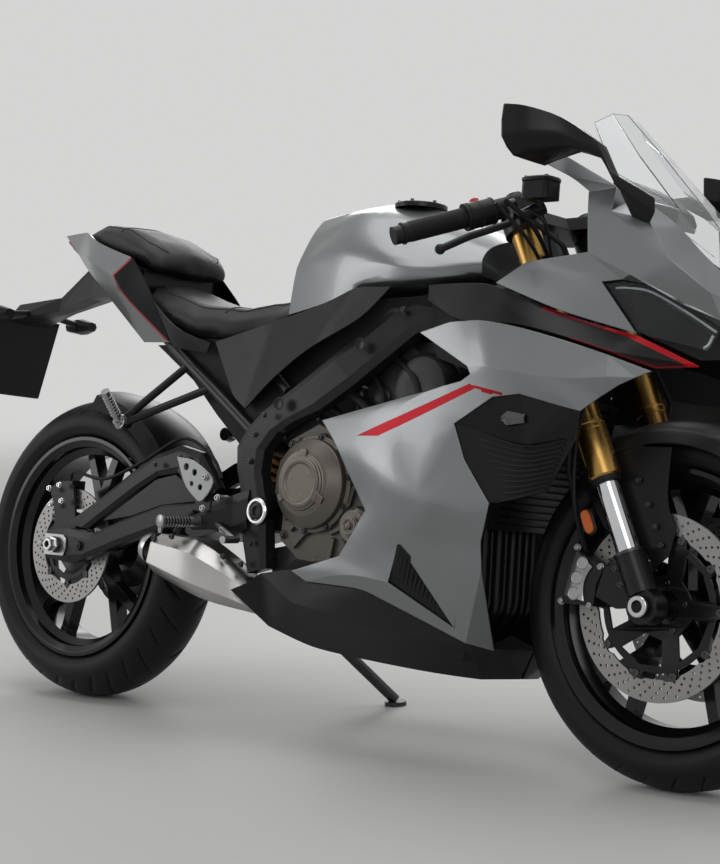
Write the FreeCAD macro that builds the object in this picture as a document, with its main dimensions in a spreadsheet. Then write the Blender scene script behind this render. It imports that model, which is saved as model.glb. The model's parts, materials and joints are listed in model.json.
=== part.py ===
# Sport motorcycle of the 650 cc class, parked on its side stand.
# Lengths are millimetres and angles degrees. The machine is drawn upright, with its origin on the
# ground under the middle of the wheelbase, +X forward, +Y to the rider's left and +Z up. At the end
# it is leaned over onto the stand and its origin is put at the bottom centre of its bounding box.

import FreeCAD, Part
import math
import os
import re
import Sketcher
from FreeCAD import Placement, Rotation, Vector

doc = FreeCAD.newDocument("SportMotorcycle")
sheet = doc.addObject("Spreadsheet::Sheet", "Dimensions")

# Driving dimensions: name, value
DIMENSIONS = [
    ("wheel_base", 1450.0),
    ("head_height", 820.0),
    ("fairing_width", 490.0),
    ("steering_rake", 25.5),
    ("fork_offset", 38.0),
    ("stand_lean", 10.15),
    ("fit_gap", 0.3),
    ("front_tyre_radius", 300.0),
    ("front_tyre_half_width", 60.0),
    ("front_rim_half_width", 50.0),
    ("front_hub_half_width", 52.0),
    ("rear_tyre_radius", 315.0),
    ("rear_tyre_half_width", 80.0),
    ("rear_rim_half_width", 67.0),
    ("rear_hub_half_width", 62.0),
    ("crown_share_front", 60.0),
    ("crown_share_rear", 84.0),
    ("rim_radius", 232.0),
    ("bead_radius", 217.0),
    ("hub_radius", 36.0),
    ("spoke_depth", 30.0),
    ("axle_radius", 12.5),
    ("front_disc_radius", 155.0),
    ("rear_disc_radius", 120.0),
    ("disc_thickness", 5.0),
    ("front_disc_place", 73.0),
    ("rear_disc_place", 86.0),
    ("sprocket_radius", 108.0),
    ("chain_place", 92.0),
    ("fork_spread", 109.0),
    ("fork_tube_radius", 26.5),
    ("stanchion_radius", 20.5),
    ("fork_foot_radius", 25.5),
    ("fork_top", 158.0),
    ("fork_tube_end", -368.0),
    ("fork_foot_top", -498.0),
    ("yoke_thickness", 24.0),
    ("upper_yoke_place", 128.0),
    ("lower_yoke_place", -62.0),
    ("head_tube_radius", 31.0),
    ("stem_radius", 15.0),
    ("stem_bore_radius", 8.0),
    ("bar_radius", 11.0),
    ("grip_radius", 17.0),
    ("swingarm_length", 613.0),
    ("swingarm_place", 125.0),
    ("swingarm_depth", 24.0),
    ("spool_bore_radius", 4.0),
    ("pivot_height", 412.0),
    ("pivot_radius", 17.0),
    ("spar_depth", 32.0),
    ("panel_wall", 3.0),
    ("screen_wall", 3.0),
    ("engine_half_width", 118.0),
    ("cylinder_half_width", 112.0),
    ("clutch_cover_radius", 84.0),
    ("clutch_cover_reach", 190.0),
    ("generator_cover_radius", 74.0),
    ("pump_cover_radius", 34.0),
    ("header_radius", 17.5),
    ("stand_tube_radius", 11.0),
    ("stud_radius", 6.0),
]
for row, (alias, number) in enumerate(DIMENSIONS, 1):
    sheet.set(f"A{row}", alias)
    sheet.set(f"B{row}", str(number))
    sheet.setAlias(f"B{row}", alias)
doc.recompute()


def size(alias):
    """A driving dimension as a number."""
    return float(sheet.get(alias))


def bound(text):
    """An expression in which each dimension's name is read from the sheet."""
    return re.sub(r"\b([a-z]+(?:_[a-z]+)+)\b", r"Dimensions.\1", text)


# Places that follow from the driving dimensions
RAKE = math.radians(size("steering_rake"))
LEAN = size("stand_lean")
REAR_AXLE = Vector(-size("wheel_base") / 2, 0, size("rear_tyre_radius"))
FRONT_AXLE = Vector(size("wheel_base") / 2, 0, size("front_tyre_radius"))
STEER_UP = Vector(-math.sin(RAKE), 0, math.cos(RAKE))
STEER_FORWARD = Vector(math.cos(RAKE), 0, math.sin(RAKE))
FORK_REACH = (size("head_height") - FRONT_AXLE.z + size("fork_offset") * math.sin(RAKE)) / math.cos(RAKE)
HEAD = FRONT_AXLE - STEER_FORWARD * size("fork_offset") + STEER_UP * FORK_REACH
PIVOT = Vector(REAR_AXLE.x + size("swingarm_length"), 0, size("pivot_height"))

# The layout points further down were drawn for these stations and stretch with them
DRAWN = {"rear": -725.0, "pivot": -112.0, "head": 434.9, "height": 820.0, "width": 490.0}


def at(x, out, z):
    """A layout point: distances from the rear axle, the pivot and the steering head are kept in share."""
    if x <= DRAWN["pivot"]:
        share = (x - DRAWN["rear"]) / (DRAWN["pivot"] - DRAWN["rear"])
        along = REAR_AXLE.x + share * (PIVOT.x - REAR_AXLE.x)
    else:
        share = (x - DRAWN["pivot"]) / (DRAWN["head"] - DRAWN["pivot"])
        along = PIVOT.x + share * (HEAD.x - PIVOT.x)
    wide = out * size("fairing_width") / DRAWN["width"]
    return Vector(along, wide, z * size("head_height") / DRAWN["height"])


# Frames that the nodes are drawn in; the lean is added when all of them are built
UPRIGHT = Placement()
STEERING = Placement(HEAD, Rotation(Vector(0, 1, 0), -size("steering_rake")))
AT_FRONT_AXLE = Placement(FRONT_AXLE, Rotation())
AT_REAR_AXLE = Placement(REAR_AXLE, Rotation())
NODES = []


def node(item, name, frame=UPRIGHT):
    """Registers a finished object as one node of the machine."""
    item.Label = name
    NODES.append((item, frame))
    return item


def feature(name, solids, frame=UPRIGHT):
    """A node whose shape is worked out here."""
    item = doc.addObject("Part::Feature", name)
    item.Shape = Part.makeCompound(solids)
    return node(item, name, frame)


def mirror_side(solids):
    """The same pieces on the other side of the machine."""
    return [solid.mirror(Vector(0, 0, 0), Vector(0, 1, 0)) for solid in solids]


def both_sides(solids):
    return solids + mirror_side(solids)


def flat_parts(points, face):
    """The face itself where its corners lie in a plane, otherwise the evenest fan of triangles."""
    corners = [points[k] for k in face]
    normal = Vector()
    for before, after in zip(corners, corners[1:] + corners[:1]):
        normal += (before - corners[0]).cross(after - corners[0])
    normal.normalize()
    if max(abs((corner - corners[0]).dot(normal)) for corner in corners) < 1e-7:
        return [face]
    fans = []
    for start in range(len(face)):
        turned_face = face[start:] + face[:start]
        fan = [[turned_face[0], turned_face[k - 1], turned_face[k]] for k in range(2, len(face))]
        least = min(
            (points[second] - points[first]).cross(points[third] - points[first]).dot(normal)
            for first, second, third in fan
        )
        root = points[turned_face[0]]
        fans.append((round(least, 1), round(root.x, 3), round(root.z, 3), -round(abs(root.y), 3), fan))
    return max(fans, key=lambda entry: entry[:4])[4]


def polyhedron(points, faces):
    """A closed solid from a list of points and, for each of its faces, the numbers of its corners."""
    sides = []
    for face in faces:
        for part in flat_parts(points, face):
            corners = [points[k] for k in part]
            sides.append(Part.Face(Part.makePolygon(corners + corners[:1])))
    shell = Part.makeShell(sides)
    shell.sewShape()
    solid = Part.makeSolid(shell.Shells[0])
    if solid.Volume < 0:
        solid.reverse()
    if not solid.isValid() or len(shell.Shells) > 1:
        raise RuntimeError(f"solid near {solid.CenterOfMass} is not closed")
    return solid


def skin(points, faces, wall):
    """A moulded panel: named outer points, faces listed by name, and a wall built inwards."""
    names = list(points)
    number = {name: index for index, name in enumerate(names)}
    outer = [points[name] for name in names]
    tilt = [Vector() for name in names]
    edges = {}
    listed = []
    for face in faces:
        for corners in flat_parts(outer, [number[name] for name in face.split()]):
            listed.append(corners)
            for before, corner, after in zip(corners[-1:] + corners[:-1], corners, corners[1:] + corners[:1]):
                into, away = outer[corner] - outer[before], outer[after] - outer[corner]
                tilt[corner] += into.cross(away).normalize() * into.getAngle(away)
                edges[(corner, after)] = True
    inner = []
    for index, place in enumerate(outer):
        inner.append(place - tilt[index].normalize() * wall)
    shift = len(outer)
    closed = list(listed)
    closed += [[corner + shift for corner in reversed(corners)] for corners in listed]
    for first, second in edges:
        if (second, first) not in edges:
            closed.append([second, first, first + shift, second + shift])
    return polyhedron(outer + inner, closed)


def panel(table, faces, wall):
    """A panel of the right side: the table gives x, distance out and z of each named point."""
    points = {name: at(x, -out, z) for name, (x, out, z) in table.items()}
    return skin(points, faces, wall)


def rings(sections):
    """A closed block through cross sections, each a half outline from its top to its bottom centre."""
    points = []
    loops = []
    for section in sections:
        right = [at(x, -out, z) for x, out, z in section]
        left = [at(x, out, z) for x, out, z in reversed(section) if out > 0]
        loops.append(list(range(len(points), len(points) + len(right) + len(left))))
        points += right + left
    return closed_loops(points, loops)


def closed_loops(points, loops):
    faces = [loops[0], list(reversed(loops[-1]))]
    for near, far in zip(loops, loops[1:]):
        for k in range(len(near)):
            after = (k + 1) % len(near)
            faces.append([near[k], far[k], far[after], near[after]])
    return polyhedron(points, faces)


def ribbon(stations, chamfer=5.0, edge=0.22, back=0.0):
    """A bar with bevelled edges. Station: x and z of both edges, distance out, depth inwards."""
    points = []
    loops = []
    for xa, za, xb, zb, out, depth in stations:
        first, second = at(xa, 0, za), at(xb, 0, zb)
        side = -at(0, out, 0).y
        across = second - first
        section = [
            first + Vector(0, side + chamfer, 0),
            first + across * edge + Vector(0, side, 0),
            second - across * edge + Vector(0, side, 0),
            second + Vector(0, side + chamfer, 0),
            second + Vector(0, side + depth - back, 0),
            first + Vector(0, side + depth - back, 0),
        ]
        if back:
            inner_side = Vector(0, side + depth, 0)
            section[5:5] = [second - across * edge + inner_side, first + across * edge + inner_side]
        loops.append(list(range(len(points), len(points) + len(section))))
        points += section
    return closed_loops(points, loops)


def rod(start, end, radius, bore=0.0):
    """A round bar or tube between two points."""
    axis = end - start
    bar = Part.makeCylinder(radius, axis.Length, start, axis)
    if bore:
        bar = bar.cut(Part.makeCylinder(bore, axis.Length, start, axis))
    return bar


def stud(start, end, trims, radius=None):
    """A screw boss that reaches from one piece to another and ends on their faces."""
    bar = rod(start, end, radius or size("stud_radius"))
    for piece in trims:
        bar = bar.cut(piece)
    middle = (start + end) * 0.5
    return min(bar.Solids, key=lambda solid: (solid.CenterOfMass - middle).Length)


def pipe(corners, radius, bend):
    """A round tube through corner points, each corner an arc of the bend radius."""
    edges = []
    here = corners[0]
    for before, corner, after in zip(corners, corners[1:], corners[2:]):
        into = (corner - before).normalize()
        away = (after - corner).normalize()
        half = into.getAngle(away) / 2
        back = bend * math.tan(half)
        start = corner - into * back
        finish = corner + away * back
        bisector = (away - into).normalize()
        middle = corner + bisector * (bend / math.cos(half) - bend)
        edges.append(Part.LineSegment(here, start).toShape())
        edges.append(Part.Arc(start, middle, finish).toShape())
        here = finish
    edges.append(Part.LineSegment(here, corners[-1]).toShape())
    path = Part.Wire(edges)
    circle = Part.makeCircle(radius, corners[0], corners[1] - corners[0])
    return path.makePipeShell([Part.Wire(circle)], True, False)


# Sketches for the turned, cut and cast pieces
def origin_plane(body, role):
    return next(plane for plane in body.Origin.OriginFeatures if plane.Role == role)


def sketch_on(body, name, role, lift="0"):
    drawing = body.newObject("Sketcher::SketchObject", name)
    drawing.AttachmentSupport = [(origin_plane(body, role), "")]
    drawing.MapMode = "FlatFace"
    drawing.setExpression(".AttachmentOffset.Base.z", bound(lift))
    return drawing


def outline(drawing, corners):
    """A closed outline of straight lines; each corner is a pair of expressions."""
    first = drawing.GeometryCount
    count = len(corners)
    for k in range(count):
        turn, step = 2 * math.pi * k / count, 2 * math.pi * (k + 1) / count
        start = Vector(50 * math.cos(turn), 50 * math.sin(turn), 0)
        end = Vector(50 * math.cos(step), 50 * math.sin(step), 0)
        drawing.addGeometry(Part.LineSegment(start, end))
    for k in range(count):
        link = Sketcher.Constraint("Coincident", first + k, 2, first + (k + 1) % count, 1)
        drawing.addConstraint(link)
    for k, corner in enumerate(corners):
        for kind, text in zip(("DistanceX", "DistanceY"), corner):
            row = drawing.addConstraint(Sketcher.Constraint(kind, -1, 1, first + k, 1, 1.0))
            drawing.setExpression(f"Constraints[{row}]", bound(text))
    return drawing


def circle(drawing, across, up, radius):
    row = drawing.addGeometry(Part.Circle(Vector(1, 1, 0), Vector(0, 0, 1), 5))
    for kind, text in (("DistanceX", across), ("DistanceY", up)):
        place = drawing.addConstraint(Sketcher.Constraint(kind, -1, 1, row, 3, 1.0))
        drawing.setExpression(f"Constraints[{place}]", bound(text))
    width = drawing.addConstraint(Sketcher.Constraint("Radius", row, 5.0))
    drawing.setExpression(f"Constraints[{width}]", bound(radius))
    return drawing


def body_named(name):
    return doc.addObject("PartDesign::Body", name)


def turned(body, name, corners, role="XY_Plane", axis="V_Axis"):
    """A solid of revolution about an axis of its own sketch."""
    drawing = outline(sketch_on(body, name + "_outline", role), corners)
    turn = body.newObject("PartDesign::Revolution", name)
    turn.Profile = drawing
    turn.ReferenceAxis = (drawing, [axis])
    turn.Angle = 360
    drawing.Visibility = False
    return turn


def padded(body, name, drawing, length, both=True):
    """A pad of the sketch, to both sides of its plane unless told otherwise."""
    block = body.newObject("PartDesign::Pad", name)
    block.Profile = drawing
    block.Midplane = both
    block.setExpression("Length", bound(length))
    drawing.Visibility = False
    return block


def bored(body, name, drawing):
    """A cut through everything, to both sides of the sketch."""
    cut = body.newObject("PartDesign::Pocket", name)
    cut.Profile = drawing
    cut.Type = 1
    cut.Midplane = True
    drawing.Visibility = False
    return cut


def around(body, name, step, axis, count):
    """Copies of a feature round an axis of the body's origin."""
    pattern = body.newObject("PartDesign::PolarPattern", name)
    pattern.Originals = [step]
    line = next(item for item in body.Origin.OriginFeatures if item.Role == axis)
    pattern.Axis = (line, [""])
    pattern.Angle = 360
    pattern.Occurrences = count
    body.Tip = pattern
    return pattern


# Wheels: tyres, cast rims with five forked spokes, drilled discs and the chain sprocket
TYRE_FACETS = 64


def tyre(name, end):
    """A tubeless radial tyre, hollow inside, in flat facets, one corner straight down at the parked lean."""
    names = (f"{end}_tyre_radius", f"{end}_tyre_half_width", f"crown_share_{end}")
    radius, half, crown = (size(text) for text in names)
    seat = size(f"{end}_rim_half_width") - 5.8
    bead = size("bead_radius") + size("fit_gap")
    side = []
    for angle in (math.radians(LEAN), math.radians(36), math.radians(62)):
        side.append((radius - crown + crown * math.cos(angle), crown * math.sin(angle)))
    side += [
        (radius - 0.8 * half, half), (size("rim_radius") + 1.5, seat), (bead, seat), (bead, seat - 12),
        (radius - 0.62 * half, half - 12),
    ]
    profile = side + [(radius - 10, 0)] + [(across, -up) for across, up in reversed(side)]
    points = []
    loops = []
    for k in range(TYRE_FACETS):
        turn = 2 * math.pi * k / TYRE_FACETS - math.pi / 2
        loops.append(list(range(len(points), len(points) + len(profile))))
        points += [Vector(across * math.cos(turn), up, across * math.sin(turn)) for across, up in profile]
    faces = []
    for near, far in zip(loops, loops[1:] + loops[:1]):
        for k in range(len(near)):
            after = (k + 1) % len(near)
            faces.append([near[k], far[k], far[after], near[after]])
    return feature(name, [polyhedron(points, faces)], AT_FRONT_AXLE if end == "front" else AT_REAR_AXLE)


def rim(name, end):
    """A cast wheel: hub, five spokes that fork half way out, and the barrel with its drop centre."""
    half, hub = f"{end}_rim_half_width", f"{end}_hub_half_width"
    rim_body = body_named(name)
    bore = "axle_radius + 0.4"
    turned(rim_body, "Hub", [(bore, f"-{hub}"), ("hub_radius", f"-{hub}"), ("hub_radius", hub), (bore, hub)])
    root, fork, tip = "hub_radius - 6", "95", "bead_radius - 24.5"
    spoke = [
        ("-17", root), ("17", root), ("13", fork), ("50", tip), ("31", f"{tip} + 4"), ("0", "125"),
        ("-31", f"{tip} + 4"), ("-50", tip), ("-13", fork),
    ]
    spoke_outline = outline(sketch_on(rim_body, "Spoke_outline", "XZ_Plane"), spoke)
    arm = padded(rim_body, "Spoke", spoke_outline, "spoke_depth")
    around(rim_body, "Spokes", arm, "Y_Axis", 5)
    outside = [
        ("rim_radius", half), ("rim_radius", f"{half} - 5.5"), ("bead_radius", f"{half} - 5.5"),
        ("bead_radius", f"{half} - 24"), ("bead_radius - 14", f"{half} - 34"),
    ]
    inside = [
        ("bead_radius - 21", f"{half} - 33"), ("bead_radius - 7", f"{half} - 22"),
        ("bead_radius - 6", f"{half} - 7"), ("rim_radius - 8", half),
    ]
    far_outside = [(across, f"-({up})") for across, up in reversed(outside)]
    far_inside = [(across, f"-({up})") for across, up in reversed(inside)]
    turned(rim_body, "Barrel", outside + far_outside + far_inside + inside)
    return rim_body


def disc(name, radius, place, hub, holes):
    """A drilled brake disc on a dished carrier that bolts to the end of the hub (+Y side)."""
    band = "36"
    near, far = f"{place} - disc_thickness / 2", f"{place} + disc_thickness / 2"
    seat, bolted = f"{hub} + fit_gap", f"{hub} + fit_gap + disc_thickness"
    disc_body = body_named(name)
    turned(disc_body, "Plate", [
        ("hub_radius - 12", seat), ("hub_radius + 10", seat), (f"{radius} - {band} - 30", near),
        (radius, near), (radius, far), (f"{radius} - {band} - 34", far), ("hub_radius + 4", bolted),
        ("hub_radius - 12", bolted),
    ])
    cuts = sketch_on(disc_body, "Holes_outline", "XZ_Plane")
    circle(cuts, "0", f"{radius} - 9", "4")
    circle(cuts, f"({radius} - 24) * sin(12)", f"({radius} - 24) * cos(12)", "4")
    first = bored(disc_body, "Holes", cuts)
    around(disc_body, "Drilling", first, "Y_Axis", holes)
    window = sketch_on(disc_body, "Window_outline", "XZ_Plane")
    reach = f"({radius} - {band} - 6)"
    outline(window, [
        ("-9", "hub_radius + 14"), ("9", "hub_radius + 14"), (f"{reach} * 0.3", reach),
        (f"-{reach} * 0.3", reach),
    ])
    opening = bored(disc_body, "Window", window)
    around(disc_body, "Carrier", opening, "Y_Axis", 6)
    return disc_body


def pair(name, item, frame):
    """A right or left piece with its mirror image on the other side, as one node."""
    image = doc.addObject("Part::Mirroring", name + "_image")
    image.Source = item
    image.Normal = (0, 1, 0)
    both = doc.addObject("Part::Compound", name)
    both.Links = [item, image]
    item.Label = name + "_left"
    return node(both, name, frame)


tyre("front_tyre", "front")
node(rim("FrontRim", "front"), "front_rim", AT_FRONT_AXLE)
front_disc = disc("FrontDisc", "front_disc_radius", "front_disc_place", "front_hub_half_width", 15)
pair("front_discs", front_disc, AT_FRONT_AXLE)
tyre("rear_tyre", "rear")
node(rim("RearRim", "rear"), "rear_rim", AT_REAR_AXLE)
rear_disc = disc("RearDisc", "rear_disc_radius", "rear_disc_place", "rear_hub_half_width", 12)
rear_disc.Placement = Placement(Vector(), Rotation(Vector(0, 0, 1), 180))
rear_disc_side = doc.addObject("Part::Compound", "RearDiscSide")
rear_disc_side.Links = [rear_disc]
node(rear_disc_side, "rear_disc", AT_REAR_AXLE)

# The sprocket: a dished carrier and a ring with a tooth for each link of the chain
TEETH = 42
LINK = 2 * size("sprocket_radius") * math.sin(math.pi / TEETH)
sprocket = body_named("RearSprocket")
turned(sprocket, "Ring", [
    ("hub_radius - 12", "rear_hub_half_width + fit_gap"),
    ("hub_radius + 12", "rear_hub_half_width + fit_gap"), ("sprocket_radius - 26", "chain_place - 3"),
    ("sprocket_radius - 6", "chain_place - 3"), ("sprocket_radius - 6", "chain_place + 3"),
    ("sprocket_radius - 30", "chain_place + 3"), ("hub_radius + 8", "rear_hub_half_width + fit_gap + 7"),
    ("hub_radius - 12", "rear_hub_half_width + fit_gap + 7"),
])
tooth_plan = outline(sketch_on(sprocket, "Tooth_outline", "XZ_Plane", "-chain_place"), [
    ("-5", "sprocket_radius - 8"), ("5", "sprocket_radius - 8"), ("1.5", "sprocket_radius"),
    ("-1.5", "sprocket_radius"),
])
tooth = padded(sprocket, "Tooth", tooth_plan, "5")
around(sprocket, "Teeth", tooth, "Y_Axis", TEETH)
node(sprocket, "rear_sprocket", AT_REAR_AXLE)


# Fork, drawn in the steering frame: origin on the steering axis in the head, +Z up along that axis
REACH_TEXT = "(head_height - front_tyre_radius + fork_offset * sin(steering_rake)) / cos(steering_rake)"


def on_leg(item):
    """Puts a piece of the left leg on the leg's own centre line."""
    item.setExpression(".Placement.Base.x", bound("fork_offset"))
    item.setExpression(".Placement.Base.y", bound("fork_spread"))
    return item


tube = on_leg(body_named("ForkTube"))
turned(tube, "Tube", [
    ("0", "fork_top"), ("fork_tube_radius - 4", "fork_top"), ("fork_tube_radius", "fork_top - 4"),
    ("fork_tube_radius", "fork_tube_end + 90"), ("fork_tube_radius + 2.5", "fork_tube_end + 84"),
    ("fork_tube_radius + 2.5", "fork_tube_end + 3"), ("fork_tube_radius", "fork_tube_end"),
    ("stanchion_radius + fit_gap", "fork_tube_end"), ("stanchion_radius + fit_gap", "fork_top - 20"),
    ("0", "fork_top - 20"),
], "XZ_Plane")
pair("fork_tubes", tube, STEERING)

stanchion = on_leg(body_named("Stanchion"))
turned(stanchion, "Rod", [
    ("0", "fork_tube_end + 140"), ("stanchion_radius", "fork_tube_end + 140"),
    ("stanchion_radius", "fork_foot_top + fit_gap"), ("0", "fork_foot_top + fit_gap"),
], "XZ_Plane")
pair("fork_stanchions", stanchion, STEERING)

# The foot: socket for the stanchion, split clamp round the axle and the lug that carries the caliper
CLAMP_WIDTH = 36
foot = on_leg(body_named("ForkFoot"))
turned(foot, "Socket", [
    ("0", "fork_foot_top"), ("fork_foot_radius - 3", "fork_foot_top"),
    ("fork_foot_radius", "fork_foot_top - 3"), ("fork_foot_radius", f"-{REACH_TEXT} + 22"),
    ("0", f"-{REACH_TEXT} + 22"),
], "XZ_Plane")
clamp_plan = circle(sketch_on(foot, "Clamp_outline", "XZ_Plane"), "0", f"-{REACH_TEXT}", "29")
padded(foot, "Clamp", clamp_plan, str(CLAMP_WIDTH))
lug_plan = outline(sketch_on(foot, "Lug_outline", "XZ_Plane", "10"), [
    ("0", "fork_foot_top - 4"), ("-57.1", f"-{REACH_TEXT} + 91.3"), ("-90.3", f"-{REACH_TEXT} + 53.8"),
    ("-60", f"-{REACH_TEXT} + 20"), ("0", f"-{REACH_TEXT}"),
])
padded(foot, "Lug", lug_plan, "12")
foot_bore = sketch_on(foot, "Bore_outline", "XZ_Plane")
circle(foot_bore, "0", f"-{REACH_TEXT}", "axle_radius + fit_gap")
foot.Tip = bored(foot, "Bore", foot_bore)
pair("fork_feet", foot, STEERING)

# The hollow front axle with its spacers, turned about the wheel's axis
axle = body_named("FrontAxle")
axle_half = [
    ("9", "fork_spread + 25"), ("17", "fork_spread + 25"), ("17", "fork_spread + 18 + fit_gap"),
    ("axle_radius", "fork_spread + 18 + fit_gap"), ("axle_radius", "fork_spread - 18 - fit_gap"),
    ("17", "fork_spread - 18 - fit_gap"), ("17", "front_hub_half_width + 0.6"),
    ("axle_radius", "front_hub_half_width + 0.6"),
]
turned(axle, "Axle", axle_half + [(across, f"-({up})") for across, up in reversed(axle_half)])
node(axle, "front_axle", AT_FRONT_AXLE)


def yoke(name, place, half):
    """A triple clamp plate: the plan of the right and left clamps, bored for the two tubes."""
    plan = half + [(across, f"-({up})") for across, up in reversed(half)]
    plate = body_named(name)
    drawing = outline(sketch_on(plate, "Plate_outline", "XY_Plane", place), plan)
    padded(plate, "Plate", drawing, "yoke_thickness", False)
    holes = sketch_on(plate, "Tube_outline", "XY_Plane", place)
    for side in ("fork_spread", "-fork_spread"):
        circle(holes, "fork_offset", side, "fork_tube_radius + fit_gap")
    plate.Tip = bored(plate, "TubeBores", holes)
    return plate


upper = yoke("UpperYoke", "upper_yoke_place", [
    ("-28", "30"), ("0", "fork_spread + 4"), ("fork_offset - 20", "fork_spread + 31"),
    ("fork_offset + 22", "fork_spread + 30"), ("fork_offset + 36", "fork_spread"),
    ("fork_offset + 26", "fork_spread - 34"), ("fork_offset + 4", "34"),
])
stem_hole = sketch_on(upper, "Stem_outline", "XY_Plane", "upper_yoke_place")
circle(stem_hole, "0", "0", "stem_radius + fit_gap")
upper.Tip = bored(upper, "StemBore", stem_hole)
node(upper, "upper_yoke", STEERING)

lower = yoke("LowerYoke", "lower_yoke_place", [
    ("-32", "34"), ("-6", "fork_spread - 6"), ("fork_offset - 24", "fork_spread + 32"),
    ("fork_offset + 24", "fork_spread + 32"), ("fork_offset + 38", "fork_spread"),
    ("fork_offset + 24", "fork_spread - 40"), ("fork_offset + 6", "30"),
])
turned(lower, "Stem", [
    ("stem_bore_radius", "lower_yoke_place"), ("stem_radius + 8", "lower_yoke_place"),
    ("stem_radius + 8", "lower_yoke_place + yoke_thickness + 3"),
    ("stem_radius", "lower_yoke_place + yoke_thickness + 3"), ("stem_radius", "fork_top + 4"),
    ("stem_bore_radius", "fork_top + 4"),
], "XZ_Plane")
bore_sketch = sketch_on(lower, "StemBore_outline", "XY_Plane", "lower_yoke_place")
bore = circle(bore_sketch, "0", "0", "stem_bore_radius")
lower.Tip = bored(lower, "StemBore", bore)
node(lower, "lower_yoke", STEERING)

# Clip-on bars: a split ring round each fork tube under the upper yoke, a lug and the bar
BAR_ROOT = Vector(size("fork_offset") + 30, size("fork_spread") + 55, size("upper_yoke_place") - 2)
BAR_END = Vector(-68, 345, 104)
BAR_AXIS = (BAR_END - BAR_ROOT).normalize()
RING_LOW, RING_HIGH = size("upper_yoke_place") - 32, size("upper_yoke_place") - 6
ring_foot = Vector(size("fork_offset"), size("fork_spread"), RING_LOW)
ring_top = Vector(size("fork_offset"), size("fork_spread"), RING_HIGH)
ring_lug = Vector(size("fork_offset") + 14, size("fork_spread") + 24, (RING_LOW + RING_HIGH) / 2)


def on_bar(distance):
    return BAR_ROOT + BAR_AXIS * distance


BAR_LENGTH = (BAR_END - BAR_ROOT).Length
GRIP_START, GRIP_END = 90.0, BAR_LENGTH - 20.0
clip = rod(ring_foot, ring_top, size("fork_tube_radius") + 9)
clip = clip.fuse(rod(ring_lug, on_bar(9), 10)).fuse(rod(BAR_ROOT, BAR_END, size("bar_radius")))
clip = clip.fuse(rod(on_bar(GRIP_END + size("fit_gap")), BAR_END, size("grip_radius") - 1))
clip = clip.cut(rod(ring_foot, ring_top, size("fork_tube_radius") + size("fit_gap")))
feature("clip_on_bars", both_sides([clip]), STEERING)
grip_bore = size("bar_radius") + size("fit_gap")
grip = rod(on_bar(GRIP_START), on_bar(GRIP_END), size("grip_radius"), grip_bore)
grip = grip.fuse(rod(on_bar(GRIP_START), on_bar(GRIP_START + 5), size("grip_radius") + 7, grip_bore))
feature("grips", both_sides([grip]), STEERING)

# Controls: switch housing and lever on each bar, master cylinder and fluid cup on the right one
housing = rod(on_bar(42), on_bar(GRIP_START - 1), size("grip_radius") + 6, grip_bore)
perch = rod(on_bar(14), on_bar(40), size("grip_radius") + 1, grip_bore)
LEVER = [on_bar(27) + Vector(12, 0, -6), Vector(77, 185, 86), Vector(29, 270, 66), Vector(1, 325, 46)]
lever = pipe(LEVER, 6.5, 26).fuse(Part.makeSphere(9, LEVER[-1]))
perch = perch.fuse(lever).cut(rod(BAR_ROOT, BAR_END, grip_bore))
cup_place = Placement(Vector(118, -165, 108), Rotation(Vector(0, 1, 0), size("steering_rake")))
cup = Part.makeBox(56, 44, 30, Vector(-28, -22, 0))
cup = cup.makeFillet(9, [edge for edge in cup.Edges if abs(edge.tangentAt(edge.FirstParameter).z) > 0.9])
cup.Placement = cup_place
cylinder = rod(Vector(76, -186, 90), Vector(112, -150, 100), 12)
cylinder = cylinder.fuse(rod(Vector(108, -158, 98), Vector(116, -165, 112), 7))
right_perch = mirror_side([perch])[0].fuse(cylinder).fuse(cup)
feature("bar_controls", [housing, perch, right_perch] + mirror_side([housing]), STEERING)

# Radial calipers: a bridge over the edge of each disc, relieved for the disc to run through
caliper = body_named("FrontCaliper")
inner, outer = "(front_disc_radius - 47)", "(front_disc_radius + 17)"
plan = [
    (f"{radius} * cos({angle})", f"{radius} * sin({angle})")
    for radius, angles in ((inner, (184, 165, 148)), (outer, (150, 165, 182)))
    for angle in angles
]
bridge_sketch = sketch_on(caliper, "Bridge_outline", "XZ_Plane", "-front_disc_place")
padded(caliper, "Bridge", outline(bridge_sketch, plan), "66")
groove = caliper.newObject("PartDesign::Groove", "DiscSlot")
slot_near, slot_far = (f"front_disc_place {sign} (disc_thickness / 2 + 5)" for sign in "-+")
slot = outline(sketch_on(caliper, "Slot_outline", "XY_Plane"), [
    ("0", slot_near), ("front_disc_radius + 5", slot_near), ("front_disc_radius + 5", slot_far),
    ("0", slot_far),
])
groove.Profile = slot
groove.ReferenceAxis = (slot, ["V_Axis"])
groove.Angle = 360
slot.Visibility = False
pair("front_calipers", caliper, AT_FRONT_AXLE)

# Front mudguard: an arch over the tyre, drawn about the wheel's axis, with a plate down each fork leg
ARCH = [(83, -32), (66, -8), (38, 6), (0, 12)]
ARCH_ANGLES = [128, 112, 96, 80, 64, 50, 38]
arch_points = {}
arch_faces = []
arch_sides = [(out, lift) for out, lift in ARCH] + [(-out, lift) for out, lift in reversed(ARCH[:-1])]
for k, angle in enumerate(ARCH_ANGLES):
    for j, (out, lift) in enumerate(arch_sides):
        reach = size("front_tyre_radius") + lift
        turn = math.radians(angle)
        arch_points[f"{k}_{j}"] = Vector(reach * math.cos(turn), out, reach * math.sin(turn))
        if k and j:
            arch_faces.append(f"{k - 1}_{j - 1} {k}_{j - 1} {k}_{j} {k - 1}_{j}")
arch = skin(arch_points, arch_faces, size("panel_wall"))
PLATE = [
    (-119, 136), (-170, 214), (-148, 240), (-60, 262), (10, 262), (8, 176), (27, 127), (19, 86), (-8, 63),
    (-30, 92), (-102, 120),
]
plate_out = 83.0
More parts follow.
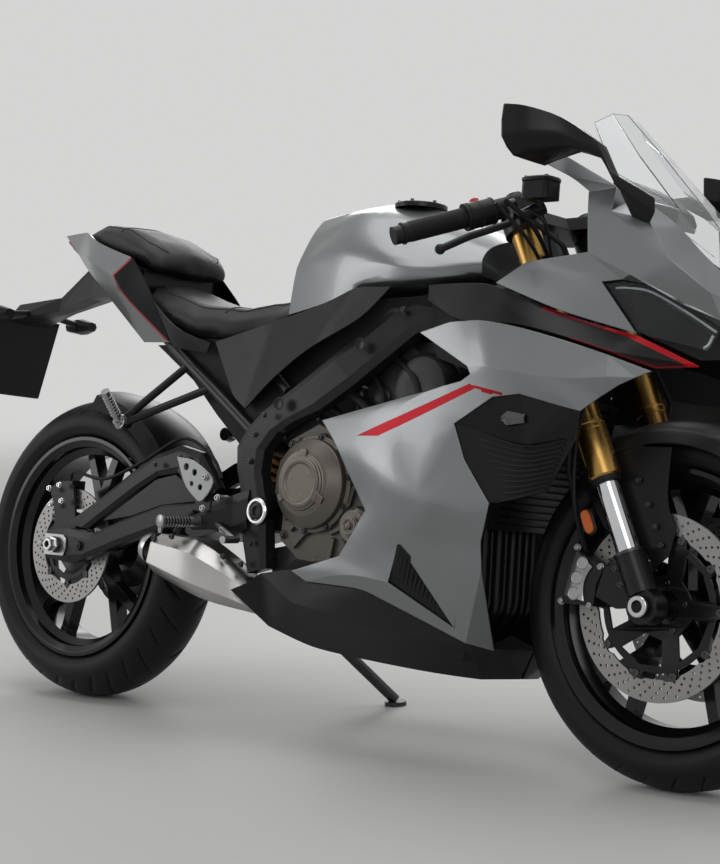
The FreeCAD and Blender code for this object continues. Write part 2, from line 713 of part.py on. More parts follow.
plate_points = [Vector(x, plate_out, z) for x, z in PLATE]
plate = Part.Face(Part.makePolygon(plate_points + plate_points[:1])).extrude(Vector(0, -2.2, 0))
guard = arch
for side in both_sides([plate]):
    guard = guard.fuse(side)
doc.recompute()
for item in (tube, foot):
    leg = item.Shape.copy()
    leg.Placement = AT_FRONT_AXLE.inverse().multiply(STEERING).multiply(leg.Placement)
    for side in both_sides([leg]):
        guard = guard.cut(side)
feature("front_mudguard", guard.Solids, AT_FRONT_AXLE)


# Main frame: two pressed spars from the swingarm pivot up to the steering head, and the head casting
HEAD_TUBE = rod(HEAD + STEER_UP * -34, HEAD + STEER_UP * 120, size("head_tube_radius"))
head_web = polyhedron(
    [HEAD + STEER_FORWARD * u + Vector(0, v, 0) + STEER_UP * w
     for v in (-1, 1)
     for u, v, w in ((-12, 24 * v, -22), (-12, 24 * v, 70), (-112, 62 * v, 52), (-112, 62 * v, -30))],
    [[0, 1, 2, 3], [7, 6, 5, 4], [0, 4, 5, 1], [1, 5, 6, 2], [2, 6, 7, 3], [3, 7, 4, 0]],
)
head_bore = rod(HEAD + STEER_UP * -40, HEAD + STEER_UP * 130, size("stem_radius") + 1)
steering_head = HEAD_TUBE.fuse(head_web).cut(head_bore)

SPAR = size("spar_depth")
PLATE_STATIONS = [
    (-143, 294, -96, 306, 152, SPAR), (-160, 360, -100, 370, 156, SPAR), (-166, 434, -104, 431, 159, SPAR),
    (-182, 490, -118, 485, 162, SPAR), (-184, 532, -112, 528, 164, SPAR), (-159, 568, -80, 563, 165, SPAR),
    (-123, 600, -40, 584, 165, SPAR),
]
SPAR_STATIONS = [
    (-123, 600, -40, 584, 165, SPAR), (-45, 648, 22, 606, 165, SPAR), (40, 705, 100, 654, 162, SPAR),
    (100, 745, 158, 698, 155, SPAR), (159, 796, 220, 748, 142, SPAR), (236, 828, 292, 776, 118, SPAR),
    (330, 848, 360, 788, 74, SPAR), (372, 852, 392, 790, 52, SPAR),
]
bore_reach = Vector(0, 300, 0)
pivot_bore = rod(PIVOT - bore_reach, PIVOT + bore_reach, size("pivot_radius") + size("fit_gap"))
pivot_plate = ribbon(PLATE_STATIONS, 6).cut(pivot_bore)
spar = ribbon(SPAR_STATIONS, 6).cut(steering_head)
spar = max(spar.Solids, key=lambda solid: solid.Volume)
cross_tubes = [
    stud(at(x, -200, z), at(x, 200, z), both_sides([pivot_plate, spar]), 16)
    for x, z in ((-128, 322), (-145, 540))
]

# Engine: the closed crankcase and cylinders as plain castings, with their covers outside
crankcase = body_named("Crankcase")
case_plan = outline(sketch_on(crankcase, "Case_outline", "XZ_Plane"), [
    ("-106", "300"), ("-10", "285"), ("150", "285"), ("215", "325"), ("228", "420"), ("205", "500"),
    ("60", "600"), ("-20", "600"), ("-98", "582"), ("-98", "548"), ("-72", "520"), ("-72", "352"),
    ("-106", "345"),
])
padded(crankcase, "Case", case_plan, "2 * engine_half_width")
bay_plan = circle(sketch_on(crankcase, "Bay_outline", "XZ_Plane", "-engine_half_width"), "-40", "432", "72")
bay = crankcase.newObject("PartDesign::Pocket", "SprocketBay")
bay.Profile = bay_plan
bay.Reversed = True
bay.Length = 50
bay_plan.Visibility = False
crankcase.Tip = bay

cylinders = body_named("Cylinders")
bank_plan = outline(sketch_on(cylinders, "Bank_outline", "XZ_Plane"), [
    ("60.2", "600.25"), ("205.2", "500.25"), ("283", "614"), ("292", "660"), ("170", "745"), ("136", "712"),
])
padded(cylinders, "Bank", bank_plan, "2 * cylinder_half_width")
engine = doc.addObject("Part::Compound", "Engine")
engine.Links = [crankcase, cylinders]
node(engine, "engine")

cover_plan = [
    (-66, 362), (20, 302), (150, 302), (196, 350), (204, 420), (180, 486), (100, 545), (10, 580), (-60, 548),
]
side_cover = body_named("SideCover")
drawing = sketch_on(side_cover, "Cover_outline", "XZ_Plane", "-(engine_half_width + 13)")
outline(drawing, [(str(x), str(z)) for x, z in cover_plan])
padded(side_cover, "Cover", drawing, "26")
side_image = doc.addObject("Part::Mirroring", "SideCoverImage")
side_image.Source = side_cover
side_image.Normal = (0, 1, 0)


def round_cover(name, steps, place, side):
    """A turned cover on the engine's side: steps are radius and height above its seat."""
    cover = body_named(name)
    face = "engine_half_width + 26"
    turned(cover, "Cover", [(across, f"({face} + {up}) * {side}") for across, up in steps])
    cover.Placement = Placement(at(place[0], 0, place[1]), Rotation())
    return cover


clutch_reach = "(clutch_cover_reach - engine_half_width - 26)"
clutch = round_cover("ClutchCover", [
    ("0", "fit_gap"), ("clutch_cover_radius + 6", "fit_gap"), ("clutch_cover_radius + 6", "8"),
    ("clutch_cover_radius", "10"), ("clutch_cover_radius - 2", "22"),
    ("clutch_cover_radius - 24", f"{clutch_reach} - 8"),
    ("clutch_cover_radius - 32", f"{clutch_reach} - 6"),
    ("clutch_cover_radius - 34", f"{clutch_reach} - 1"), ("clutch_cover_radius - 38", clutch_reach),
    ("0", clutch_reach),
], (14, 469), "-1")
pump = round_cover("PumpCover", [
    ("0", "fit_gap"), ("pump_cover_radius", "fit_gap"), ("pump_cover_radius", "18"),
    ("pump_cover_radius - 6", "24"), ("pump_cover_radius - 14", "24"), ("pump_cover_radius - 15", "30"),
    ("0", "30"),
], (128, 396), "-1")
right_covers = doc.addObject("Part::Compound", "RightCovers")
right_covers.Links = [clutch, pump]
node(right_covers, "clutch_cover")
generator = round_cover("GeneratorCover", [
    ("0", "fit_gap"), ("generator_cover_radius", "fit_gap"), ("generator_cover_radius", "14"),
    ("generator_cover_radius - 8", "34"), ("generator_cover_radius - 30", "40"), ("0", "40"),
], (110, 420), "1")
side_covers = doc.addObject("Part::Compound", "SideCovers")
side_covers.Links = [side_cover, side_image, generator]
node(side_covers, "engine_side_covers")

# Final drive: the chain as one fixed loop round both sprockets, its edge notched once for each link
CHAIN_FRONT = at(-40, 0, 432)
CHAIN_REACH, CHAIN_NOSE, CHAIN_DEPTH = size("sprocket_radius") + 5.0, 36.0, 14.0
NOSE_STEPS = 6
chain_span = CHAIN_FRONT - REAR_AXLE
chain_lean = math.atan2(chain_span.z, chain_span.x)
chain_wrap = math.acos((CHAIN_REACH - CHAIN_NOSE) / chain_span.Length)


def chain_edge(grow, notch):
    """The loop's edge as a polygon: round the front sprocket, back along the run, round the rear one."""
    points = []
    rear_sweep = 2 * (math.pi - chain_wrap)
    for middle, radius, start, sweep, steps in (
        (CHAIN_FRONT, CHAIN_NOSE + grow, chain_lean + chain_wrap, -2 * chain_wrap, NOSE_STEPS),
        (REAR_AXLE, CHAIN_REACH + grow, chain_lean - chain_wrap, -rear_sweep,
         round(rear_sweep * CHAIN_REACH / LINK)),
    ):
        for k in range(steps + 1):
            turn = start + sweep * k / steps
            points.append(middle + Vector(radius * math.cos(turn), 0, radius * math.sin(turn)))
    if not notch:
        return points
    toothed = []
    for here, after in zip(points, points[1:] + points[:1]):
        run = after - here
        count = max(1, round(run.Length / LINK))
        inward = Vector(-run.z, 0, run.x).normalize() * -notch
        for k in range(count):
            toothed.append(here + run * (k / count))
            toothed.append(here + run * ((k + 0.5) / count) + inward)
    return toothed


def slab(points, thickness):
    """A flat plate: its outline pushed out along Y."""
    face = Part.Face(Part.makePolygon(points + points[:1]))
    return face.extrude(Vector(0, thickness, 0))


chain = slab(chain_edge(CHAIN_DEPTH, 2.0), 12).cut(slab(chain_edge(0, 0), 12))
chain.translate(Vector(0, size("chain_place") - 6, 0))
feature("drive_chain", chain.Solids)


def on_shaft(out):
    return CHAIN_FRONT + Vector(0, out, 0)


drive_radius = CHAIN_NOSE * math.cos(chain_wrap / NOSE_STEPS) - size("fit_gap")
drive = rod(on_shaft(size("chain_place") - 5), on_shaft(size("chain_place") + 5), drive_radius)
drive = drive.fuse(rod(on_shaft(size("engine_half_width") - 50), on_shaft(size("chain_place") + 12), 14))
feature("drive_sprocket", [drive])

# Radiator: core with horizontal fins across its front, leaning forward at the top
radiator = body_named("Radiator")
core_plan = outline(sketch_on(radiator, "Core_outline", "YZ_Plane"), [
    ("-150", "-122"), ("150", "-122"), ("150", "122"), ("-150", "122"),
])
padded(radiator, "Core", core_plan, "30")
slot_plan = outline(sketch_on(radiator, "Fin_outline", "YZ_Plane", "15"), [
    ("-126", "-112"), ("126", "-112"), ("126", "-106"), ("-126", "-106"),
])
fin_slot = radiator.newObject("PartDesign::Pocket", "FinSlot")
fin_slot.Profile = slot_plan
fin_slot.Length = 8
slot_plan.Visibility = False
fins = radiator.newObject("PartDesign::LinearPattern", "Fins")
fins.Originals = [fin_slot]
fins.Direction = (next(line for line in radiator.Origin.OriginFeatures if line.Role == "Z_Axis"), [""])
fins.Length = 218
fins.Occurrences = 18
radiator.Tip = fins
radiator_node = doc.addObject("Part::Compound", "RadiatorNode")
radiator_node.Links = [radiator]
radiator.Placement = Placement(at(429, 0, 530), Rotation(Vector(0, 1, 0), 13))
node(radiator_node, "radiator")

# Exhaust: four headers down the front of the engine, a collector under it, and the silencer beside it
HEADER_PLACES = (-66, -22, 22, 66)
headers = rod(at(60, -82, 222), at(60, 82, 222), 25)
for out in HEADER_PLACES:
    near, far = out * 0.95, out * 0.9
    stations = ((278, out, 630), (346, out, 584), (352, near, 262), (300, far, 222), (60, far, 222))
    down_pipe = [at(*station) for station in stations]
    headers = headers.fuse(pipe(down_pipe, size("header_radius"), 48))
headers = headers.fuse(pipe([at(60, 0, 222), at(-24, -62, 222), at(-116, -115, 240)], 22, 50))
MUFFLER_STATIONS = [
    (-352, 356, -368, 281, 203, 98), (-250, 350, -236, 241, 206, 104), (-172, 310, -150, 226, 186, 90),
    (-112, 262, -96, 214, 150, 70),
]
muffler = ribbon(MUFFLER_STATIONS, 24, 0.24, 24)
headers = headers.cut(muffler)
doc.recompute()
headers = max(headers.cut(cylinders.Shape).Solids, key=lambda solid: solid.Volume)
feature("exhaust_headers", [headers])
feature("muffler", [muffler])
outlet = ribbon([(-353.6, 350, -367, 287, 197, 86), (-364, 346, -377, 292, 190, 72)], 18, 0.24, 18)
outlet = outlet.cut(rod(at(-420, -154, 330), at(-340, -154, 312), 25))
feature("muffler_end", [outlet])

# Swingarm: two box arms, a pressed brace over each, and the cross beam in front of the tyre
ARM = size("swingarm_depth")
OUT = size("swingarm_place")
ARM_STATIONS = [
    (-85, 446, -85, 378, 117, 14), (-140, 448, -140, 376, 117, 14), (-215, 440, -215, 372, 118, 26),
    (-325, 424, -305, 396, OUT, ARM), (-418, 416, -429, 360, OUT, ARM), (-505, 388, -546, 324, OUT, ARM),
    (-617, 345, -655, 286, OUT, ARM), (-700, 352, -690, 280, OUT, ARM), (-762, 345, -762, 286, OUT, ARM),
]
BRACE_STATIONS = [
    (-703, 362, -640, 352.5, OUT - 1, ARM - 2), (-607, 417, -590, 384, OUT - 1, ARM - 2),
    (-515, 475, -500, 438, OUT - 1, ARM - 2), (-447, 511, -437, 470, OUT - 1, ARM - 2),
    (-378, 533, -378, 478, OUT - 1, ARM - 2), (-318, 520, -338, 458, OUT - 1, ARM - 2),
    (-262, 452, -290, 424, OUT - 1, ARM - 2),
]
axle_bore = rod(REAR_AXLE - bore_reach, REAR_AXLE + bore_reach, size("axle_radius") + size("fit_gap"))
arm = ribbon(ARM_STATIONS, 5).cut(axle_bore).cut(pivot_bore)
spool_place = at(-655, 0, 317) - Vector(0, OUT, 0)
arm = arm.fuse(rod(spool_place + Vector(0, 4, 0), spool_place - Vector(0, 6, 0), 10))
arm = arm.cut(rod(spool_place + Vector(0, 12, 0), spool_place - Vector(0, 6, 0), size("spool_bore_radius")))
brace = ribbon(BRACE_STATIONS, 5)
brace = max(brace.cut(arm).Solids, key=lambda solid: solid.Volume)
beam = rings([
    [(-235, 0, 436), (-235, 116, 436), (-235, 116, 374), (-235, 0, 374)],
    [(-330, 0, 440), (-330, 116, 440), (-330, 116, 350), (-330, 0, 350)],
    [(-352, 0, 425), (-352, 116, 425), (-352, 116, 362), (-352, 0, 362)],
])
beam = beam.cut(arm).cut(mirror_side([arm])[0]).cut(brace).cut(mirror_side([brace])[0])
beam = max(beam.Solids, key=lambda solid: solid.Volume)
feature("swingarm", both_sides([arm, brace]) + [beam])
pivot_half = size("fairing_width") / DRAWN["width"] * 158
pivot_bolt = rod(PIVOT + Vector(0, -pivot_half, 0), PIVOT + Vector(0, pivot_half, 0), size("pivot_radius"), 9)
for side in (-1, 1):
    face = PIVOT + Vector(0, side * (pivot_half + 0.6), 0)
    cap_start = PIVOT + Vector(0, side * (pivot_half - 1), 0)
    pivot_bolt = pivot_bolt.fuse(rod(cap_start, face + Vector(0, side * 7, 0), 23, 9))
pivot_bolt = pivot_bolt.cut(pivot_plate).cut(mirror_side([pivot_plate])[0])
pivot_bolt = max(pivot_bolt.Solids, key=lambda solid: solid.Volume)
feature("swingarm_pivot", [pivot_bolt])

# Rear axle with its nuts, spacers and the chain adjuster blocks outside the arms
rear_axle = body_named("RearAxle")
rear_half = [
    ("7", "swingarm_place + 14"), ("15", "swingarm_place + 14"), ("17", "swingarm_place + 12"),
    ("17", "swingarm_place + 4.3"), ("axle_radius", "swingarm_place + 4.3"),
    ("axle_radius", "swingarm_place - swingarm_depth - fit_gap"),
    ("17", "swingarm_place - swingarm_depth - fit_gap"), ("17", "rear_hub_half_width + 0.6"),
    ("axle_radius", "rear_hub_half_width + 0.6"),
]
turned(rear_axle, "Axle", rear_half + [(across, f"-({up})") for across, up in reversed(rear_half)])
rear_axle_node = doc.addObject("Part::Compound", "RearAxleNode")
rear_axle_node.Links = [rear_axle]
node(rear_axle_node, "rear_axle", AT_REAR_AXLE)
block = body_named("AdjusterBlock")
block_plan = outline(sketch_on(block, "Block_outline", "XZ_Plane", "-(swingarm_place + fit_gap + 1.8)"), [
    ("-34", "-22"), ("26", "-22"), ("32", "-8"), ("32", "14"), ("22", "22"), ("-34", "22"),
])
padded(block, "Block", block_plan, "3.4")
block_bore = circle(sketch_on(block, "Bore_outline", "XZ_Plane"), "0", "0", "axle_radius + fit_gap")
block.Tip = bored(block, "Bore", block_bore)
pair("chain_adjusters", block, AT_REAR_AXLE)

# Fuel tank, a closed pressing that sits down over the spars
TANK_RINGS = [
    [(-79, 0, 1001), (-86, 66, 980), (-92, 92, 945), (-108, 112, 880), (-130, 102, 792), (-130, 0, 790)],
    [(0, 0, 1013), (0, 82, 986), (6, 112, 956), (-5, 138, 900), (0, 138, 808), (0, 0, 800)],
    [(85, 0, 1010), (85, 92, 976), (78, 140, 924), (88, 156, 880), (92, 152, 834), (92, 0, 815)],
    [(205, 0, 978), (208, 100, 942), (212, 156, 876), (222, 164, 858), (227, 152, 840), (227, 0, 828)],
    [(330, 0, 930), (334, 76, 910), (338, 108, 886), (342, 116, 872), (340, 110, 852), (338, 0, 845)],
]
frame_sides = both_sides([spar])
tank = rings(TANK_RINGS).cut(steering_head)
for piece in frame_sides:
    tank = tank.cut(piece)
tank = max(tank.Solids, key=lambda solid: solid.Volume)
feature("fuel_tank", [tank])

# Seats and the tray under the rider's seat
RIDER_SEAT = [
    [(-545, 0, 882), (-545, 66, 876), (-540, 96, 852), (-536, 104, 824), (-536, 0, 815)],
    [(-470, 0, 846), (-470, 92, 842), (-470, 126, 818), (-470, 126, 790), (-470, 0, 780)],
    [(-370, 0, 816), (-370, 102, 812), (-370, 137, 787), (-370, 133, 757), (-370, 0, 750)],
    [(-260, 0, 808), (-260, 92, 804), (-260, 126, 778), (-260, 122, 748), (-260, 0, 745)],
    [(-180, 0, 824), (-178, 66, 820), (-170, 98, 799), (-166, 108, 772), (-166, 0, 768)],
    [(-142, 0, 836), (-142, 54, 832), (-138, 80, 815), (-138, 96, 792), (-138, 0, 788)],
]
PASSENGER_SEAT = [
    [(-795, 0, 988), (-795, 38, 986), (-795, 56, 978), (-793, 58, 962), (-793, 0, 958)],
    [(-710, 0, 1000), (-710, 68, 994), (-710, 92, 972), (-710, 90, 945), (-710, 0, 940)],
    [(-610, 0, 985), (-610, 86, 978), (-610, 112, 950), (-610, 108, 918), (-610, 0, 912)],
    [(-530, 0, 950), (-530, 88, 944), (-528, 112, 922), (-525, 108, 894), (-525, 0, 888)],
    [(-502, 0, 926), (-502, 72, 920), (-500, 94, 905), (-500, 92, 887), (-500, 0, 884)],
]
SEAT_TRAY = [
    [(-548, 0, 811), (-548, 88, 811), (-548, 90, 790), (-548, 0, 788)],
    [(-470, 0, 779), (-470, 98, 779), (-470, 98, 757), (-470, 0, 754)],
    [(-370, 0, 749), (-370, 104, 749), (-370, 104, 727), (-370, 0, 724)],
    [(-260, 0, 744), (-260, 98, 744), (-260, 98, 720), (-260, 0, 716)],
    [(-166, 0, 767), (-166, 84, 767), (-166, 84, 740), (-166, 0, 736)],
]
TAIL_CORE = [
    [(-868, 0, 975), (-868, 22, 974), (-865, 30, 965), (-862, 24, 956), (-862, 0, 955)],
    [(-793, 0, 957), (-793, 45, 957), (-790, 55, 935), (-788, 45, 917), (-788, 0, 914)],
    [(-710, 0, 939), (-710, 78, 939), (-708, 84, 905), (-706, 72, 882), (-706, 0, 878)],
    [(-610, 0, 911), (-610, 96, 911), (-608, 104, 870), (-606, 90, 842), (-606, 0, 838)],
    [(-551, 0, 896), (-551, 96, 896), (-551, 104, 850), (-551, 90, 816), (-551, 0, 812)],
]
seat_tray = rings(SEAT_TRAY)
tail_core = rings(TAIL_CORE)
rider_seat = rings(RIDER_SEAT).cut(tank).cut(seat_tray)
passenger_seat = rings(PASSENGER_SEAT).cut(tail_core)
feature("rider_seat", [max(rider_seat.Solids, key=lambda solid: solid.Volume)])
feature("passenger_seat", [max(passenger_seat.Solids, key=lambda solid: solid.Volume)])
feature("seat_carrier", [seat_tray, tail_core])

# Subframe: two rails each side from the pivot plates and spars to the tray and the tail
RAIL = 11
lower_rail = pipe([at(-140, -142, 548), at(-418, -112, 722), at(-640, -70, 862)], RAIL, 240)
upper_rail = pipe([at(-70, -146, 640), at(-200, -104, 716), at(-330, -80, 738)], RAIL, 90)
rail_trims = frame_sides + both_sides([pivot_plate]) + [seat_tray, tail_core]
rails = []
for rail, inside in ((lower_rail, at(-380, -116, 698)), (upper_rail, at(-150, -118, 690))):
    for piece in rail_trims:
        rail = rail.cut(piece)
    rails.append(min(rail.Solids, key=lambda solid: (solid.CenterOfMass - inside).Length))

# Tail cowls, their lamp and the bracket that carries the number plate
TAIL_COWL = {
    "tip": (-880, 34, 988), "top": (-767, 72, 984), "knee": (-688, 104, 952), "front": (-560, 124, 914),
    "neck": (-500, 130, 852), "toe": (-423, 128, 738), "heel": (-516, 112, 742), "under": (-674, 98, 858),
    "back": (-750, 80, 907), "low": (-813, 54, 944), "fold_a": (-700, 116, 915), "fold_b": (-600, 136, 877),
    "fold_c": (-545, 138, 826),
}
TAIL_FACES = [
    "tip top fold_a low", "top knee fold_a", "knee front fold_b fold_a", "front neck fold_c fold_b",
    "neck toe fold_c", "fold_c toe heel", "fold_b fold_c heel under", "fold_a fold_b under back",
    "low fold_a back",
]
tail_cowl = panel(TAIL_COWL, TAIL_FACES, size("panel_wall"))
feature("tail_cowls", both_sides([tail_cowl]))
tail_lamp = rings([
    [(-868.4, 0, 973), (-868.4, 20, 972), (-868.4, 27, 965), (-868.4, 21, 958), (-868.4, 0, 957)],
    [(-893, 0, 984), (-893, 14, 983), (-893, 20, 978), (-893, 14, 972), (-893, 0, 971)],
])
feature("tail_lamp", [tail_lamp])
hanger = rings([
    [(-715, 0, 890), (-715, 28, 888), (-715, 30, 852), (-715, 0, 850)],
    [(-790, 0, 925), (-790, 28, 923), (-790, 30, 850), (-790, 0, 846)],
    [(-900, 0, 856), (-900, 20, 854), (-900, 24, 824), (-900, 0, 820)],
    [(-1030, 0, 842), (-1030, 30, 840), (-1036, 60, 800), (-1032, 0, 796)],
]).cut(tail_core)
hanger = min(hanger.Solids, key=lambda solid: solid.CenterOfMass.z)
board = polyhedron(
    [at(x, out, z) for out in (-92, 92) for x, z in ((-1034, 812), (-1046, 812), (-1100, 640), (-1088, 640))],
    [[0, 1, 2, 3], [7, 6, 5, 4], [0, 4, 5, 1], [1, 5, 6, 2], [2, 6, 7, 3], [3, 7, 4, 0]],
).cut(hanger)
board = max(board.Solids, key=lambda solid: solid.Volume)
feature("plate_hanger", [hanger, board])
blinker = rings([
    [(-40, 0, 12), (-40, 12, 10), (-40, 16, 0), (-40, 12, -10), (-40, 0, -12)],
    [(0, 0, 18), (0, 18, 15), (0, 24, 0), (0, 18, -15), (0, 0, -18)],
    [(34, 0, 10), (34, 10, 8), (34, 14, 0), (34, 10, -8), (34, 0, -10)],
])
stalk = rod(Vector(0, 0, 0), Vector(0, 90, 12), 7)
rear_blinker = blinker.fuse(stalk)
rear_blinker.translate(at(-985, -118, 808))
rear_blinker = max(rear_blinker.cut(hanger).Solids, key=lambda solid: solid.Volume)

# Covers beside the tank and under the seat
TANK_COVER = {
    "back": (-300, 122, 738), "seat": (-146, 120, 776), "rise": (0, 146, 802), "mid": (92, 162, 828),
    "nose": (180, 166, 828), "low_d": (112, 168, 772), "low_c": (3, 169, 722), "low_b": (-96, 162, 664),
    "low_a": (-186, 140, 606), "heel": (-229, 134, 634),
}
TANK_COVER_FACES = [
    "back seat low_a heel", "seat low_b low_a", "seat rise low_c low_b", "rise mid low_d low_c",
    "mid nose low_d",
]
UNDER_SEAT = {
    "a": (-490, 128, 830), "b": (-400, 140, 768), "c": (-306, 130, 736), "d": (-316, 128, 716),
    "e": (-412, 128, 728),
}
tank_cover = panel(TANK_COVER, TANK_COVER_FACES, size("panel_wall"))
under_seat = panel(UNDER_SEAT, ["a b e", "b c d e"], size("panel_wall")).cut(tail_cowl)
under_seat = max(under_seat.Solids, key=lambda solid: solid.Volume)
feature("tank_covers", both_sides([tank_cover, under_seat]))

# Fairing panels of the right side; every table gives x, distance out and z of the named points
WING_AND_SIDE = {
    "wing_tip": (297, 215, 738), "top_a": (367, 222, 754), "top_b": (429, 225, 756), "top_c": (505, 226, 745),
    "top_d": (613, 224, 719), "top_e": (690, 218, 697), "top_f": (767, 205, 672), "under_a": (424, 238, 677),
    "corner": (432, 238, 664), "fold_a": (478, 245, 676), "fold_b": (605, 245, 658),
    "fold_c": (701, 232, 661), "band_end": (411, 235, 652), "band_mid": (253, 222, 597),
    "band_tip": (63, 192, 583), "band_low": (108, 207, 548), "duct_a": (402, 235, 580),
    "duct_b": (424, 230, 522), "duct_c": (476, 220, 450), "lip_a": (482, 238, 626),
    "lip_b": (537, 238, 632), "lip_c": (616, 236, 614), "lip_d": (654, 231, 606), "arch_a": (687, 227, 629),
    "arch_b": (718, 221, 650), "arch_c": (743, 213, 662), "crease_a": (245, 232, 499),
    "crease_b": (338, 237, 462), "crease_c": (386, 234, 440), "front_a": (458, 212, 385),
    "front_b": (457, 204, 339), "front_c": (424, 112, 202), "low_a": (405, 165, 213),
    "low_b": (210, 190, 281), "low_c": (169, 192, 289), "low_d": (51, 190, 292), "low_e": (13, 190, 308),
    "rear_a": (137, 205, 342), "rear_b": (201, 220, 426), "vent_a": (283, 222, 372),
    "vent_b": (258, 206, 304), "vent_c": (387, 175, 236), "belly": (155, 203, 311),
}
WING_AND_SIDE_FACES = [
    "wing_tip top_a under_a", "top_a top_b fold_a under_a", "top_b top_c fold_a", "top_c top_d fold_b fold_a",
    "top_d top_e fold_c fold_b", "top_e top_f arch_c fold_c", "under_a fold_a corner",
    "corner fold_a lip_a band_end", "fold_a fold_b lip_b lip_a", "fold_b lip_c lip_b",
    "fold_b fold_c arch_a lip_d lip_c", "fold_c arch_c arch_b arch_a", "band_tip band_end band_mid",
    "band_tip band_mid band_low", "band_mid band_end duct_a", "band_end lip_a duct_a",
    "band_mid duct_a crease_b", "band_mid crease_b crease_a", "band_low band_mid crease_a",
    "duct_a duct_b crease_c crease_b", "duct_b duct_c crease_c", "band_low crease_a rear_b",
    "crease_a crease_b vent_a rear_b", "crease_b crease_c vent_a", "crease_c duct_c front_a",
    "crease_c front_a vent_a", "vent_a front_a front_b vent_c", "vent_c front_b front_c low_a",
    "vent_b vent_c low_a low_b", "rear_b vent_a vent_b rear_a", "rear_a vent_b belly", "vent_b low_b belly",
    "belly low_b low_c", "rear_a belly low_e", "belly low_c low_d low_e",
]
wall = size("panel_wall")
side_fairing = panel(WING_AND_SIDE, WING_AND_SIDE_FACES, wall)
feature("side_fairings", both_sides([side_fairing]))

NOSE = {
    "tail": (435, 190, 825), "low_a": (574, 195, 775), "low_b": (717, 180, 737), "lamp_rear": (654, 195, 820),
    "rim_a": (497, 190, 859), "rim_b": (630, 205, 868), "rim_c": (624, 205, 934), "rim_d": (621, 202, 968),
    "fin_foot": (667, 190, 975), "ridge_a": (665, 198, 934), "ridge_b": (706, 196, 903),
    "ridge_c": (770, 185, 855), "ridge_d": (829, 150, 803), "brow_b": (710, 199, 830),
    "brow_c": (838, 125, 763), "screen_a": (685, 152, 965), "screen_b": (752, 138, 916),
    "screen_c": (784, 116, 876), "screen_d": (816, 84, 838), "cheek": (727, 182, 918),
    "lamp_a": (691, 193, 824), "lamp_b": (732, 182, 818), "lamp_c": (785, 160, 789),
    "lamp_d": (830, 112, 756), "mid_top": (838, 4, 832), "mid_low": (868, 4, 772),
}
NOSE_FACES = [
    "tail rim_a low_a", "rim_a rim_b lamp_rear low_a", "low_a lamp_rear low_b", "rim_b rim_c ridge_a",
    "rim_b ridge_a ridge_b", "rim_b ridge_b brow_b", "lamp_rear rim_b brow_b lamp_a",
    "brow_b ridge_b ridge_c", "brow_b ridge_c ridge_d brow_c", "lamp_a brow_b lamp_b",
    "brow_b brow_c lamp_c lamp_b", "brow_c lamp_d lamp_c", "ridge_a screen_a cheek",
    "ridge_a cheek ridge_b", "cheek screen_a screen_b", "cheek screen_b ridge_c ridge_b",
    "screen_b screen_c ridge_c", "screen_c screen_d ridge_d ridge_c", "rim_c rim_d fin_foot ridge_a",
    "ridge_a fin_foot screen_a", "screen_d mid_top mid_low ridge_d", "ridge_d mid_low brow_c",
    "brow_c mid_low lamp_d",
]
FIN = {
    "foot_a": (621, 203, 969), "foot_b": (668, 191, 976), "tip": (504, 217, 1036), "top": (561, 202, 1036),
    "mid": (592, 210, 992),
}
nose_cowl = panel(NOSE, NOSE_FACES, wall)
fin = panel(FIN, ["foot_a foot_b top mid", "mid top tip"], wall).cut(nose_cowl)
fin = max(fin.Solids, key=lambda solid: solid.Volume)
feature("nose_cowls", both_sides([nose_cowl, fin]))

LAMP = {
    "rear": (657, 190, 817), "a": (692, 188, 820), "b": (732, 177, 814), "c": (784, 155, 785),
    "d": (826, 110, 753), "e": (812, 118, 716), "f": (737, 168, 733), "g": (716, 176, 741),
}
headlamp = panel(LAMP, ["rear a g", "a b f g", "b c f", "c d e f"], 26).cut(nose_cowl)
headlamp = max(headlamp.Solids, key=lambda solid: solid.Volume)
feature("headlamps", both_sides([headlamp]))

MID_COWL = {
    "rear": (255, 148, 832), "top_a": (354, 172, 828), "top_b": (430, 182, 819), "top_c": (574, 189, 769),
    "top_d": (717, 172, 731), "front": (803, 126, 688), "low_f": (766, 196, 678), "low_e": (690, 212, 702),
    "low_d": (613, 216, 724), "low_c": (500, 214, 750), "low_b": (367, 196, 762), "low_a": (258, 152, 804),
}
MID_COWL_FACES = [
    "rear top_a low_b low_a", "top_a top_b low_c low_b", "top_b top_c low_d low_c", "top_c top_d low_e low_d",
    "top_d front low_f low_e",
]
mid_cowl = panel(MID_COWL, MID_COWL_FACES, wall).cut(nose_cowl).cut(side_fairing).cut(headlamp)
mid_cowl = max(mid_cowl.Solids, key=lambda solid: solid.Volume)
feature("mid_cowls", both_sides([mid_cowl]))

INTAKE = {
    "duct_a": (403, 235, 580), "duct_b": (425, 230.2, 522), "duct_c": (476.5, 220.2, 450.5),
    "foot": (566, 186, 474), "edge": (622, 196, 560), "lip_d": (653, 230, 605), "lip_c": (615.5, 236, 613),
    "lip_b": (537, 238, 631), "lip_a": (482.5, 238, 625), "deep": (530, 206, 545),
}
INTAKE_FACES = [
    "duct_a deep duct_b", "duct_b deep duct_c", "duct_c deep foot", "foot deep edge", "edge deep lip_d",
    "lip_d deep lip_c", "lip_c deep lip_b", "lip_b deep lip_a", "lip_a deep duct_a",
]
intake = panel(INTAKE, [" ".join(reversed(face.split())) for face in INTAKE_FACES], wall).cut(side_fairing)
intake = max(intake.Solids, key=lambda solid: solid.Volume)
VENT = {"a": (283, 219, 370), "b": (260, 203, 306), "c": (384, 172, 239), "d": (352, 192, 322)}
vent = panel(VENT, ["a d b", "d c b"], wall).cut(side_fairing)
vent = max(vent.Solids, key=lambda solid: solid.Volume)
feature("intake_panels", both_sides([intake, vent]))
